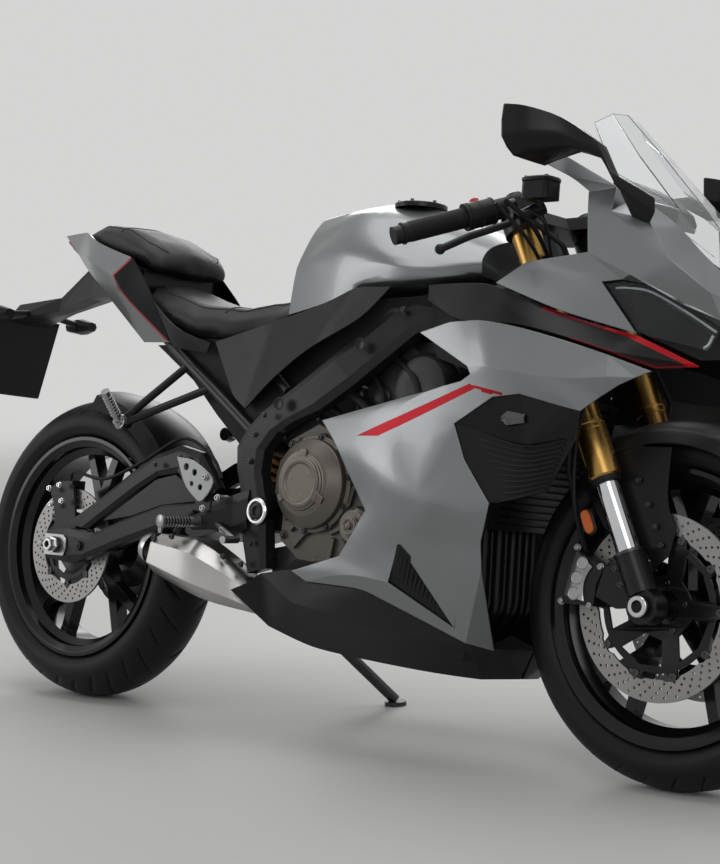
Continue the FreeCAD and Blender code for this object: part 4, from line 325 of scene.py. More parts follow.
# Brake discs: ground stainless bands drilled in slanting rows, each riveted to a black carrier by bobbins
# The carriers are dished plates bolted to the hubs.
BAND_WIDTH, BAND_THICKNESS, HOLE_RADIUS = 38, 5, 2.5
CARRIER_THICKNESS, HUB_FACE, HUB_BORE, BOLT_CIRCLE = 4.6, 46, 27, 41
disc_steel = finish("ground_disc_steel", (0.27, 0.265, 0.26), 0.42, metallic=1.0, edge=0.0005, scale=420,
                    depth=0.0001, mottle=0.2)


def outwards(side):
    """The direction out of the machine's right side (1) or left side (-1)."""
    return across_axis * -side


def turned_out(work, places, profile, steps=16, sides=(1, -1)):
    """Adds a turned shape at each place (x, out, z) on one side or both, its axis out of the machine."""
    for side in sides:
        for x, out, z in places:
            turned_piece(work, on_bike(x, out * side, z), outwards(side), profile, steps)


def screw_head(radius):
    """The profile of a socket-head screw on its washer, with a hollow in the middle."""
    return [
        (-1, radius * 1.3), (1.2, radius * 1.3), (1.4, radius), (5.0, radius), (5.6, radius * 0.85),
        (5.6, radius * 0.5), (3.2, radius * 0.5), (3.2, 0),
    ]


def screws(work, places, radius, sides=(1, -1)):
    """Adds a screw at each place (x, out, z) on one side or both, its head facing out."""
    turned_out(work, places, screw_head(radius), 12, sides)


def cut_plate(name, loops, thickness, body, material, shape):
    """A plate cut from sheet: the first loop is its outline, the rest are holes; shape places each point."""
    drawing = bpy.data.curves.new(name, "CURVE")
    drawing.dimensions = "2D"
    drawing.fill_mode = "BOTH"
    drawing.extrude = thickness / 2000
    for loop in loops:
        spline = drawing.splines.new("POLY")
        spline.points.add(len(loop) - 1)
        for point, (across, high) in zip(spline.points, loop):
            point.co = (across / 1000, high / 1000, 0, 1)
        spline.use_cyclic_u = True
    sheet = bpy.data.objects.new(name, drawing)
    work = bmesh.new()
    work.from_mesh(bpy.data.meshes.new_from_object(sheet))
    bpy.data.objects.remove(sheet)
    bmesh.ops.remove_doubles(work, verts=work.verts, dist=0.00002)
    for vertex in work.verts:
        vertex.co = shape(*(vertex.co * 1000))
    return finished(name, work, body, material)


def at_angle(radius, degrees):
    """A point on a circle, by its angle."""
    return radius * math.cos(math.radians(degrees)), radius * math.sin(math.radians(degrees))


def round_loop(x, y, radius, steps=10):
    """The outline of a round hole or disc."""
    return [(x + across, y + high) for across, high in (at_angle(radius, 360 * k / steps) for k in range(steps))]


def circled(x, out, z, radius, angles):
    """Places (x, out, z) on a circle that faces out of the machine, by their angles."""
    return [(x + across, out, z + high) for across, high in (at_angle(radius, angle) for angle in angles)]


def lobed(radius, lobe_radius, lobe_half, arms, steps):
    """A round outline with a lobe at each arm."""
    loop = []
    for k in range(steps):
        turn = k / steps * 360
        past = turn % (360 / arms)
        near = min(past, 360 / arms - past)
        loop.append(at_angle(lobe_radius if near < lobe_half else radius, turn))
    return loop


def brake_disc(name, node, body, axle, radius, out, seat, arms, pitch):
    """A drilled band and its carrier on one side: out is the band's place, seat the hub face's."""
    side = 1 if out > 0 else -1
    inner = radius - BAND_WIDTH
    rim = inner - 20
    band = [round_loop(0, 0, radius, 96), lobed(inner, inner + 4.5, 7, arms, 96)]
    for k in range(round(360 / pitch)):
        for row, shift in ((8, 0), (16, 0.34), (24, 0.68), (31, 0.08)):
            band.append(round_loop(*at_angle(radius - row, (k + shift) * pitch), HOLE_RADIUS, 8))

    def flat(across, high, depth):
        return on_bike(axle.x + across, out + depth * side, axle.z + high)

    ring = cut_plate(name + "_band", band, BAND_THICKNESS, body, disc_steel, flat)
    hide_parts(node)
    carrier = [lobed(inner - 10, inner + 3, 5.5, arms, 120), round_loop(0, 0, HUB_BORE, 32)]
    windows = arms // 2
    for j in range(windows):
        middle, half = 360 / windows * (j + 0.5), 360 / windows * 0.36
        carrier.append([at_angle(reach, middle + half * share) for reach, share in (
            (rim, -1), (rim + 2, 0), (rim, 1), (54, 0.75), (52, 0), (54, -0.75),
        )])

    def dished(across, high, depth):
        share = min(1, max(0, (math.hypot(across, high) - HUB_FACE) / (rim - HUB_FACE)))
        return on_bike(axle.x + across, (seat + (abs(out) - seat) * share + depth) * side, axle.z + high)

    cut_plate(name + "_carrier", carrier, CARRIER_THICKNESS, body, satin_black, dished)
    work = bmesh.new()
    turned_out(work, circled(axle.x, abs(out) - 4, axle.z, inner - 1, [360 / arms * j for j in range(arms)]), [
        (0, 5), (0, 7.2), (8, 7.2), (8.6, 6.4), (8.6, 3), (7, 2.5), (7, 0),
    ], 14, (side,))
    hub = [360 / windows * j + 12 for j in range(windows)]
    screws(work, circled(axle.x, seat + 2, axle.z, BOLT_CIRCLE, hub), 5, (side,))
    finished(name + "_bobbins", work, body, dark_steel)


brake_disc("front_right_disc", "front_discs", "front_wheel", FRONT_PLACE, 155, 73, 54, 10, 9)
brake_disc("front_left_disc", "front_discs", "front_wheel", FRONT_PLACE, 155, -73, 54, 10, 9)
brake_disc("rear_right_disc", "rear_disc", "rear_wheel", REAR_PLACE, 120, 86, 66, 8, 11.25)


# Drive chain: pressed side plates on pins, two plates to each link, plated dark like the sprockets
# The plates stand outside the chain's solid loop.
CHAIN_PITCH, NOSE_RADIUS, WRAP_RADIUS, LINE_LIFT = 15.9, 36.0, 113.0, 7
PLATE_HALF, PLATE_THICKNESS = 6.6, 1.4
finish_nodes(dark_steel, "rear_sprocket", "drive_sprocket", "drive_chain", "swingarm_pivot", "fairing_stay",
             "rear_strut", "side_stand", "front_axle", "rear_axle")
nose, axle_flat = Vector((-40, 432)), Vector((REAR_PLACE.x, REAR_PLACE.z))
span = nose - axle_flat
lean = math.atan2(span.y, span.x)
wrap = math.acos((WRAP_RADIUS - NOSE_RADIUS) / span.length)
loop = []
for centre, radius, first, sweep, steps in (
    (nose, NOSE_RADIUS, lean + wrap, -2 * wrap, 12),
    (axle_flat, WRAP_RADIUS, lean - wrap, 2 * wrap - 2 * math.pi, 36),
):
    for k in range(steps + 1):
        turn = first + sweep * k / steps
        loop.append(centre + Vector((math.cos(turn), math.sin(turn))) * (radius + LINE_LIFT))
lengths = [(b - a).length for a, b in zip(loop, loop[1:] + loop[:1])]
count = 2 * round(sum(lengths) / CHAIN_PITCH / 2)
spots = []
for k in range(count):
    rest, j = k * sum(lengths) / count, 0
    while rest > lengths[j]:
        rest -= lengths[j]
        j += 1
    spots.append(loop[j].lerp(loop[(j + 1) % len(loop)], rest / lengths[j]))
work = bmesh.new()
for k, start in enumerate(spots):
    stop = spots[(k + 1) % count]
    along = (stop - start).normalized()
    normal = Vector((-along.y, along.x))
    outline = []
    for end, way, turns in ((start, -1, range(-90, 91, 45)), (stop, 1, range(90, -91, -45))):
        for turn in turns:
            across, high = at_angle(PLATE_HALF, turn)
            outline.append(end + along * across * way + normal * high)
    outer = 1.6 * (k % 2)
    for face_out in (-99.5 - outer, -84.5 + outer):
        stack(work, [
            [work.verts.new(on_bike(spot.x, depth, spot.y)) for spot in outline]
            for depth in (face_out, face_out + PLATE_THICKNESS)
        ])
    turned_piece(work, on_bike(start.x, -80.5, start.y), across_axis, [(0, 0), (0, 2.4), (22, 2.4), (22, 0)], 8)
finished("chain_links", work, "frame", dark_steel)


# Axles: a hollow front axle with its bright end rings, a bright rear nut with a black middle, adjuster bolts
# The pinch bolts and adjusters hold them in the fork feet and the swingarm.
finish_nodes(bare_alloy, "chain_adjusters")
work = bmesh.new()
turned_out(work, [(725, 133, 300)], [(0, 9), (0, 18), (6, 18), (7.5, 16.5), (7.5, 10.5), (3, 9), (0, 9)], 24)
finished("axle_end_rings", work, "fork", bright)
work = bmesh.new()
turned_out(work, [(-725, 137.5, 315)], [
    (0, 6), (0, 17.5), (2.5, 17.5), (2.5, 14.5), (14, 14), (15, 12.5), (15, 8), (6, 7), (6, 6),
], 6, (1,))
turned_out(work, [(-725, 137.5, 315)], [(0, 6), (0, 15), (8, 15), (9, 13), (9, 0)], 6, (-1,))
for side in (1, -1):
    turned_piece(work, on_bike(-752, 127 * side, 315), -forward_axis, [
        (0, 0), (0, 4), (16, 4), (16, 7), (22, 7), (22, 0),
    ], 6)
finished("rear_axle_nuts", work, "frame", bright)
work = bmesh.new()
turned_out(work, [(-725, 139, 315)], [(0, 0), (0, 9), (11, 8.5), (11, 6), (7, 5), (7, 0)], 20, (1,))
finished("rear_axle_plug", work, "frame", satin_black)
work = bmesh.new()
turned_out(work, [(725, 134, 300)], [(0, 0), (3, 9), (3, 8), (1, 5), (1, 0)], 20, (1,))
finished("front_axle_plug", work, "fork", satin_black)


# Fork: gold anodised outer tubes with turned collars, hard-chromed stanchions and black feet
# The tubes are clamped in both yokes; each stanchion slides in its tube past a black dust seal.
RAKE, STEM_X, STEM_Z = math.radians(25.5), 434.9, 820
LEG_FORWARD, LEG_OUT = 38, 109
gold = finish("gold_anodised_alloy", (0.40, 0.235, 0.07), 0.27, metallic=1.0, edge=0.001, depth=0.00003)
chrome = finish("hard_chrome", (0.62, 0.63, 0.65), 0.08, metallic=1.0, edge=0.0005, depth=0.00001)
finish_nodes(gold, "fork_tubes")
finish_nodes(chrome, "fork_stanchions")
fork_up = up_axis * math.cos(RAKE) - forward_axis * math.sin(RAKE)


def on_fork(forward, out, up):
    """A place in the steering's own axes: forward of the stem, out to the right, up along the stem."""
    return on_bike(
        STEM_X + forward * math.cos(RAKE) - up * math.sin(RAKE), out,
        STEM_Z + forward * math.sin(RAKE) + up * math.cos(RAKE),
    )


collars, seals, caps, feet, nuts = (bmesh.new() for _ in range(5))
turned_piece(nuts, on_fork(0, 0, 140), fork_up, [(0, 18), (3, 18), (4, 15), (10, 15), (11, 13), (11, 0)], 6)
for side in (1, -1):
    for low in (-366, -306, -286, -232):
        turned_piece(collars, on_fork(LEG_FORWARD, LEG_OUT * side, low), fork_up, [
            (0, 26), (1, 28.6), (9, 28.6), (10, 27.8), (11.4, 27.8), (12.4, 28.6), (15, 28.6), (16.5, 26),
        ], 40)
    turned_piece(seals, on_fork(LEG_FORWARD, LEG_OUT * side, -378), fork_up, [
        (0, 20.6), (0, 24.5), (4, 26.5), (12, 26.5),
    ], 40)
    turned_piece(caps, on_fork(LEG_FORWARD, LEG_OUT * side, 158), fork_up, [
        (0, 24), (5, 24), (6, 22), (6, 16), (7, 16), (14, 15), (15, 13.5), (15, 5), (12, 4), (12, 0),
    ], 12)
    turned_piece(feet, on_fork(LEG_FORWARD, LEG_OUT * side, -504), fork_up, [
        (0, 24), (0, 26.5), (5, 26.5), (6, 24),
    ], 40)
    for up in (-520, -548):
        turned_piece(feet, on_fork(16, (LEG_OUT + 20) * side, up), outwards(side), screw_head(4.5), 12)
    turned_piece(nuts, on_fork(64, (LEG_OUT + 26) * side, 116), outwards(side), screw_head(4), 12)
finished("fork_collars", collars, "fork", gold)
finished("dust_seals", seals, "fork", black_rubber)
finished("fork_caps", caps, "fork", dark_steel)
finished("fork_foot_screws", feet, "fork", dark_steel)
finished("yoke_nuts", nuts, "fork", bright)


# Reflectors: moulded orange prisms on black brackets, one on the outside of each fork leg
# Each bracket shares a bolt of the caliper's lug.
reflector_orange = finish("orange_reflector", (0.52, 0.1, 0.006), 0.22, scale=2200, depth=0.0004, edge=0.001,
                          gleam=0.35)


def soft_square(half_x, half_y, power, steps):
    """An outline between a rectangle and an ellipse."""
    turns = [2 * math.pi * k / steps for k in range(steps)]
    return [(
        math.copysign(half_x * abs(math.cos(turn)) ** power, math.cos(turn)),
        math.copysign(half_y * abs(math.sin(turn)) ** power, math.sin(turn)),
    ) for turn in turns]


for name, material, grow, base, depth in (
    ("reflector_lenses", reflector_orange, 0, 138, 5), ("reflector_backs", satin_black, 2.5, 134, 2.5),
):
    work = bmesh.new()
    outline = soft_square(8.5 + grow, 20 + grow, 0.6, 20)
    for side in (1, -1):
        stack(work, [
            [work.verts.new(on_fork(a * wide - 2, (base + rise) * side, b * tall - 430)) for a, b in outline]
            for rise, wide, tall in ((0, 1, 1), (depth - 1.5, 1, 1), (depth, 0.86, 0.93))
        ])
    finished(name, work, "fork", material)


# Brakes: black cast calipers with machined pads that show the pistons' caps, their bolts, and rubber pipes
# The front pair bolt to the fork feet; the rear one sits on its bracket over the axle.
caliper_black = finish("caliper_black", (0.009, 0.009, 0.0095), 0.34, edge=0.002, edge_highlight_colour=(0.03, 0.03, 0.03),
                       gleam=0.25)
machined = finish("machined_alloy", (0.33, 0.33, 0.335), 0.3, metallic=1.0, edge=0.001, scale=420, depth=0.00005)
finish_nodes(caliper_black, "front_calipers", "rear_caliper")
finish_nodes(black_rubber, "brake_hoses")


def smoothed(points, parts=6):
    """A curved path through the given places."""
    ends = [points[0] * 2 - points[1], *points, points[-1] * 2 - points[-2]]
    path = []
    for before, start, stop, after in zip(ends, ends[1:], ends[2:], ends[3:]):
        for k in range(parts):
            t = k / parts
            path.append(0.5 * (
                2 * start + (stop - before) * t + (2 * before - 5 * start + 4 * stop - after) * t ** 2
                + (3 * start - before - 3 * stop + after) * t ** 3
            ))
    return path + [points[-1]]


def cord(work, path, radius, steps=10):
    """Adds a round cord or tube of a radius in millimetres along a path."""
    side = (path[1] - path[0]).orthogonal().normalized()
    rings = []
    for k, spot in enumerate(path):
        along = (path[min(k + 1, len(path) - 1)] - path[max(k - 1, 0)]).normalized()
        side = (side - along * side.dot(along)).normalized()
        rings.append(ring_of(work, spot, side, along.cross(side), radius, steps))
    stack(work, rings)


pads, bolts, rear_screws, rear_pipe, front_pipe = (bmesh.new() for _ in range(5))
shares = [k / 12 for k in range(12)]
outline = [(150 + 30 * t, 166 - 4 * math.sin(math.pi * t)) for t in shares]
outline += [(180 - 30 * t, 124 + 6 * math.sin(math.pi * t)) for t in shares]
for side in (1, -1):
    rows = []
    for depth, shrink in ((104, 0), (109, 0), (110.5, 2.2)):
        row = [at_angle(reach + (shrink if reach < 145 else -shrink), angle) for angle, reach in outline]
        rows.append([pads.verts.new(on_bike(725 + across, depth * side, 300 + high)) for across, high in row])
    stack(pads, rows, first_end=False)
turned_out(bolts, circled(725, 109.5, 300, 145, (154.5, 165, 175.5)), [
    (0, 11.5), (1.6, 11.5), (2.2, 10.5), (1.2, 9.6), (1.2, 0),
], 24)
screws(bolts, circled(725, 104, 300, 114, (149, 183)), 5)
screws(bolts, circled(725, 104, 300, 171, (149,)) + circled(725, 104, 300, 172, (181,)), 5)
screws(rear_screws, circled(-725, 117, 315, 92, (93, 115)) + circled(-725, 117, 315, 126, (97, 112)), 5, (1,))
cord(rear_pipe, smoothed([on_bike(*spot) for spot in (
    (-722, 104, 452), (-700, 112, 470), (-600, 118, 458), (-500, 112, 495), (-390, 104, 548), (-300, 108, 512),
    (-250, 128, 470),
)], 8), 3.6)
cord(front_pipe, smoothed([on_fork(*spot) for spot in (
    (60, 22, -70), (78, 66, -150), (66, 128, -230), (24, 140, -300), (-14, 140, -390), (-40, 112, -455),
)], 8), 3.4)
finished("caliper_pads", pads, "fork", machined)
finished("caliper_caps", bolts, "fork", bare_alloy)
finished("rear_caliper_screws", rear_screws, "frame", bright)
finished("rear_brake_pipe", rear_pipe, "frame", black_rubber)
finished("front_brake_pipe", front_pipe, "fork", black_rubber)


# Controls: ribbed rubber grips, black switch housings with a red stop switch, a fluid cup with its lid
# The housings and the master cylinder are clamped on the clip-on bars; their cables run down by the stem.
BAR_ROOT, BAR_END = Vector((68, 164, 126)), Vector((-68, 345, 104))
CUP_PLACE, LID_POWER = (118, 165, 108), 0.55
bar_reach = (BAR_END - BAR_ROOT).length
bar_way = (BAR_END - BAR_ROOT).normalized()
black_plastic = finish("grained_black_plastic", (0.008, 0.008, 0.0086), 0.34, scale=1400, depth=0.0001,
                       edge=0.0015, edge_highlight_colour=(0.016, 0.016, 0.017), gleam=0.2)
red_plastic = finish("red_switch_plastic", (0.55, 0.015, 0.015), 0.35)
finish_nodes(black_rubber, "grips")
finish_nodes(black_plastic, "bar_controls")


def on_bar(side, distance, forward=0.0, up=0.0):
    """A place along a handlebar, measured from its clamp."""
    spot = BAR_ROOT + bar_way * distance
    return on_fork(spot.x + forward, spot.y * side, spot.z + up)


def on_cup(across, aside, rise):
    """A place on the fluid cup, which stands upright over the right bar."""
    return on_fork(*CUP_PLACE) + (forward_axis * across + across_axis * aside + up_axis * rise) / 1000


ribs, switches, stop, lid, cables = (bmesh.new() for _ in range(5))
for side in (1, -1):
    way = on_bar(side, 200) - on_bar(side, 100)
    for k in range(22):
        turned_piece(ribs, on_bar(side, 99 + k * (bar_reach - 128) / 22), way, [
            (0, 16.8), (0.6, 17.9), (3.2, 17.9), (3.8, 16.8),
        ], 24)
    turned_piece(ribs, on_bar(side, bar_reach - 19), way, [(0, 16.8), (0, 19), (3, 19), (4, 17)], 28)
    for start in (43, 66, 84):
        turned_piece(switches, on_bar(side, start), way, [(0, 22.8), (0.8, 23.9), (3.2, 23.9), (4, 22.8)], 28)
    turned_piece(switches, on_bar(side, 60, -16, 12), fork_up - forward_axis * 0.6, [
        (0, 0), (0, 7), (9, 6), (10, 0),
    ], 14)
    turned_piece(switches, on_bar(side, 78, -20, 4), Vector((-1, 0, 0.2)), [(0, 0), (0, 5), (8, 4.4), (9, 0)], 14)
spot = BAR_ROOT + bar_way * 66
turned_piece(stop, on_fork(spot.x - 4, spot.y, 142), fork_up, [(0, 0), (0, 9), (6, 8.4), (8, 6.5), (8, 0)], 20)
stack(lid, [
    [lid.verts.new(on_cup(across, aside, rise)) for across, aside in soft_square(half_x, half_y, LID_POWER, 28)]
    for rise, half_x, half_y in ((30, 30, 24), (31, 31, 25), (36, 31, 25), (38, 29, 23))
])
for across, aside in ((21, 15), (21, -15), (-21, 15), (-21, -15)):
    turned_piece(lid, on_cup(across, aside, 38), up_axis, [(-1, 4), (1.4, 4), (2, 3), (2, 0)], 12)
for start, path, radius in (
    (on_bar(-1, 70, 14), ((88, -150, 70), (60, -96, 30), (20, -56, 0), (-20, -44, -40)), 3.5),
    (on_fork(92, 232, 110), ((96, 180, 70), (66, 110, 34), (24, 58, 4), (-16, 44, -40)), 4.2),
    (on_fork(84, 250, 104), ((84, 190, 50), (56, 120, 14), (14, 56, -16), (-22, 40, -50)), 3.2),
    (on_fork(100, 176, 96), ((110, 160, 66), (84, 128, 30), (60, 90, 10), (30, 60, -10)), 3.0),
):
    cord(cables, smoothed([start] + [on_fork(*spot) for spot in path], 8), radius)
finished("grip_ribs", ribs, "fork", black_rubber)
finished("switch_details", switches, "fork", black_plastic)
finished("stop_switch", stop, "fork", red_plastic)
finished("cup_lid", lid, "fork", black_plastic)
finished("bar_cables", cables, "fork", black_rubber)


# Frame: dark grey painted beams with bright screws, and a ring of bright steel round each pivot cap
# The pivot bolt passes through both plates.
PIVOT = (-112, 163, 412)
frame_grey = finish("dark_grey_frame_paint", (0.013, 0.0135, 0.015), 0.3, edge=0.0025, metallic=0.1,
                    edge_highlight_colour=(0.036, 0.037, 0.04), gleam=0.3)
finish_nodes(frame_grey, "main_frame")
finish_nodes(black_plastic, "seat_carrier")
rings, heads, plugs = (bmesh.new() for _ in range(3))
turned_out(rings, [PIVOT], [(0, 22.5), (0, 25.5), (4, 25.5), (6.5, 23), (6.5, 19), (3, 17), (3, 15)], 40)
screws(heads, [(-124, 165, 350), (-142, 165, 505), (-134, 165, 556), (-96, 182, 592), (196, 146, 790)], 4.6)
turned_out(plugs, [PIVOT], [(0, 16.5), (5, 16.5), (6, 15), (6, 9.5), (2, 8.5), (2, 0)], 24)
turned_out(plugs, [(-62, 181, 614), (120, 171, 724)], [(0, 12), (1, 12), (1.6, 11), (0.4, 9), (0.4, 0)], 24)
finished("pivot_rings", rings, "frame", bright)
finished("frame_screws", heads, "frame", dark_steel)
finished("frame_plugs", plugs, "frame", satin_black)


# Engine: black castings with bronze-grey covers; webs, a flange of screws and a raised ring on the clutch cover
# Each cover is bolted to the case over its gasket.
CLUTCH_X, CLUTCH_Z = 14, 469
cast_black = finish("cast_black_paint", (0.01, 0.01, 0.0105), 0.42, scale=500, depth=0.0005, edge=0.003, gleam=0.4)
bronze = finish("bronze_grey_cover", (0.125, 0.11, 0.095), 0.36, metallic=0.6, edge=0.0035, scale=700,
                depth=0.0003, edge_highlight_colour=(0.3, 0.27, 0.235))
case_bronze = finish("bronze_grey_case", (0.08, 0.071, 0.062), 0.43, metallic=0.5, edge=0.0035, scale=600,
                     depth=0.0006, edge_highlight_colour=(0.18, 0.16, 0.14))
finish_nodes(cast_black, "engine")
finish_nodes(bronze, "clutch_cover")
finish_nodes(case_bronze, "engine_side_covers")
rings, webs, heads = (bmesh.new() for _ in range(3))
for place, profile, steps, side in (
    ((CLUTCH_X, 187, CLUTCH_Z), [(0, 47), (5.5, 46), (6.5, 44.5), (6.5, 37), (5.5, 35.5), (3, 34), (3, 0)], 64, 1),
    ((128, 172, 396), [(0, 17), (5, 16), (5, 12), (2, 11), (2, 7), (7, 6.5), (8, 5), (8, 0)], 40, 1),
    ((110, 182, 420), [(0, 44), (4, 43), (5, 41), (5, 20), (3, 18), (3, 0)], 56, -1),
):
    turned_out(rings, [place], profile, steps, (side,))
turned_out(rings, circled(CLUTCH_X, 189.5, CLUTCH_Z, 26, (40, 160, 280)), [(0, 5), (1.2, 4.4), (1.2, 0)], 14, (1,))
for turn in (90, 210, 330):
    way = Vector(at_angle(1, turn))
    aside = Vector((-way.y, way.x))
    top, low = [], []
    for reach, half, out in ((45, -9, 192), (58, -7, 187), (62, -6, 187), (62, 6, 187), (58, 7, 187), (45, 9, 192)):
        spot = way * reach + aside * half
        top.append(rings.verts.new(on_bike(CLUTCH_X + spot.x, out, CLUTCH_Z + spot.y)))
        low.append(rings.verts.new(on_bike(CLUTCH_X + spot.x, 180, CLUTCH_Z + spot.y)))
    stack(rings, [low, top], False, False)
    for quad in ((0, 5, 4, 1), (1, 4, 3, 2)):
        rings.faces.new([top[k] for k in quad])
flange = [36 * k + 10 for k in range(10)]
turned_out(webs, circled(CLUTCH_X, 150, CLUTCH_Z, 87, flange), [(-8, 9.5), (2, 8.5), (3, 7)], 16, (1,))
screws(heads, circled(CLUTCH_X, 153, CLUTCH_Z, 87, flange), 4.6, (1,))
flange = [72 * k + 20 for k in range(5)]
turned_out(webs, circled(128, 146, 396, 31, flange), [(-4, 7), (14, 6.5), (15, 5)], 14, (1,))
screws(heads, circled(128, 160, 396, 31, flange), 3.8, (1,))
case_seam = ((-58, 372), (18, 312), (84, 309), (144, 311), (188, 354), (196, 418), (174, 480), (-52, 540), (-60, 450))
turned_out(webs, [(x, 134, z) for x, z in case_seam], [(-6, 10), (11.5, 9), (13, 7.5)])
screws(heads, [(x, 146.5, z) for x, z in case_seam], 4.6)
screws(heads, circled(110, 159, 420, 69, [45 * k + 12 for k in range(8)]), 4.6, (-1,))
for x1, z1, x2, z2, half in (
    (60, 380, 104, 400, 4), (-30, 350, 6, 385, 4), (60, 316, 70, 374, 4), (120, 316, 126, 362, 4),
    (160, 372, 186, 362, 4), (150, 430, 184, 452, 4), (100, 430, 112, 470, 4), (-40, 380, -20, 404, 4),
    (20, 330, 100, 330, 4), (150, 480, 110, 524, 4), (96, 500, 118, 500, 3),
):
    start, stop = Vector((x1, z1)), Vector((x2, z2))
    along = (stop - start).normalized()
    aside = Vector((-along.y, along.x)) * half
    middle = (start + stop) / 2
    foot = [start + aside, stop + aside, stop - aside, start - aside]
    stack(webs, [
        [webs.verts.new(on_bike(spot.x, out, spot.y)) for spot in (middle + (end - middle) * share for end in foot)]
        for out, share in ((142, 1), (151, 0.9))
    ], first_end=False)
finished("cover_rings", rings, "frame", bronze)
finished("cover_webs", webs, "frame", case_bronze)
finished("cover_screws", heads, "frame", dark_steel)


# Intake side of the engine: throttle bodies, plug caps and coolant hoses between the engine and the frame beam
# The hoses are clipped at both ends; the round cover behind them is dark grey plastic.
dull_plastic = finish("dull_grey_plastic", (0.022, 0.023, 0.026), 0.42, scale=1200, depth=0.0003, edge=0.003,
                      gleam=0.35)
hoses, clips, boxes = (bmesh.new() for _ in range(3))
for side in (1, -1):
    for path, radius in (
        (((-20, 118, 616), (28, 124, 640), (74, 128, 636), (120, 126, 600), (128, 128, 548), (120, 130, 524)), 9),
        (((-44, 112, 600), (10, 116, 590), (60, 122, 596), (100, 128, 580), (150, 128, 560), (190, 120, 520)), 6),
        (((40, 110, 676), (66, 120, 660), (84, 124, 622), (92, 126, 580), (84, 130, 552)), 4.5),
        (((70, 104, 700), (110, 118, 676), (140, 122, 640), (150, 124, 600), (170, 124, 560)), 5),
        (((-70, 120, 590), (-40, 128, 606), (0, 132, 612), (40, 130, 604), (70, 128, 574)), 4),
        (((120, 100, 716), (170, 116, 700), (214, 122, 668), (230, 122, 620), (220, 122, 570)), 7),
    ):
        line = smoothed([on_bike(x, out * side, z) for x, out, z in path], 7)
        cord(hoses, line, radius)
        for k in (3, len(line) - 4):
            turned_piece(clips, line[k], line[k + 1] - line[k], [
                (0, radius), (0, radius + 1.6), (7, radius + 1.6), (7, radius),
            ], 14)
for x, z, radius, out in ((18, 668, 24, 74), (64, 640, 17, 86), (130, 636, 20, 88), (-32, 622, 15, 92)):
    turned_out(boxes, [(x, out, z)], [
        (0, radius), (22, radius), (26, radius - 4), (30, radius - 4), (32, radius - 8), (32, 0),
    ], 22)
turned_out(boxes, [(226, 88, 652)], [(0, 66), (24, 64), (34, 56), (38, 40), (36, 20), (36, 0)], 40)
finished("coolant_hoses", hoses, "frame", black_rubber)
finished("hose_clips", clips, "frame", bright)
finished("throttle_bodies", boxes, "frame", dull_plastic)


# Exhaust: dark heat-coloured headers, and a brushed stainless silencer with a black outlet and its clamp
# The silencer hangs from the footrest plate by a strap.
header_dark = finish("dark_header_steel", (0.016, 0.015, 0.014), 0.2, metallic=0.6, gleam=0.25, edge=0.003,
                     scale=300, depth=0.0001, mottle=0.3)
brushed = finish("brushed_stainless", (0.43, 0.42, 0.41), 0.3, metallic=1.0, edge=0.003, scale=300, depth=0.0001,
                 stretch=(0.08, 1, 1))
finish_nodes(header_dark, "exhaust_headers")
finish_nodes(black_plastic, "muffler_end")
outlet, heads, strap = (bmesh.new() for _ in range(3))
turned_piece(outlet, on_bike(-340, 154, 312), on_bike(-420, 154, 330) - on_bike(-340, 154, 312), [
    (60, 25), (74, 25), (75, 27.5), (72, 29), (64, 30.5), (58, 30.5),
], 36)
screws(heads, [(-352, 196, 346), (-300, 200, 352), (-180, 176, 322), (-140, 168, 310)], 4.6, (1,))
cord(strap, smoothed([on_bike(-296, 196, 360), on_bike(-282, 188, 384), on_bike(-262, 182, 402)]), 6)
finished("outlet_ring", outlet, "frame", brushed)
finished("silencer_screws", heads, "frame", dark_steel)
finished("silencer_strap", strap, "frame", satin_black)


# Swingarm webs, suspension strut and side stand: painted arms, a coil spring in dull yellow, and a pull spring
# The spring sits round the damper between the frame and the swingarm's cross beam.
spring_yellow = finish("strut_spring_paint", (0.46, 0.2, 0.035), 0.38, depth=0.00005, coat=0.3)


def coil_spring(name, body, material, start, way, length, coil_radius, wire, coils, parts, steps):
    """A wire wound round an axis: the length is in metres, the coil's and the wire's radius in millimetres."""
    across = way.orthogonal().normalized()
    other = way.cross(across)
    path = []
    for k in range(coils * parts + 1):
        turn = 2 * math.pi * k / parts
        path.append(
            start + way * length * k / (coils * parts)
            + (across * math.cos(turn) + other * math.sin(turn)) * coil_radius / 1000
        )
    work = bmesh.new()
    cord(work, path, wire, steps)
    finished(name, work, body, material)


webs, heads = bmesh.new(), bmesh.new()
outline = ((-590, 372), (-510, 420), (-440, 462), (-385, 474), (-345, 452), (-320, 424), (-418, 412), (-505, 386))
for side in (1, -1):
    stack(webs, [[webs.verts.new(on_bike(x, out * side, z)) for x, z in outline] for out in (123, 113)])
screws(heads, [(-655, 128, 317), (-300, 128, 412), (-430, 138, 492), (-360, 138, 508)], 4.4)
finished("swingarm_webs", webs, "frame", satin_black)
finished("swingarm_screws", heads, "frame", dark_steel)
strut_low = on_bike(-262, 0, 462)
strut_way = (on_bike(-165, 0, 606) - strut_low).normalized()
coil_spring("strut_spring", "frame", spring_yellow, strut_low + strut_way * 0.022, strut_way, 0.128, 28.5, 5.2,
            7, 15, 8)
stand_top = on_bike(-192, -116, 224)
stand_way = (on_bike(-100, -252, 82) - stand_top).normalized()
coil_spring("stand_spring", "side_stand", dark_steel, stand_top, stand_way, 0.07, 6, 1.3, 14, 7, 6)


# Footrests: grey cast plates with pierced heel guards, black stays, ribbed pegs and a steel pedal
# The passenger's pegs fold on the ends of their stays.
peg_grey = finish("silver_grey_plate", (0.27, 0.275, 0.28), 0.4, metallic=0.6, edge=0.002, scale=800, depth=0.0001,
                  edge_highlight_colour=(0.3, 0.3, 0.3))


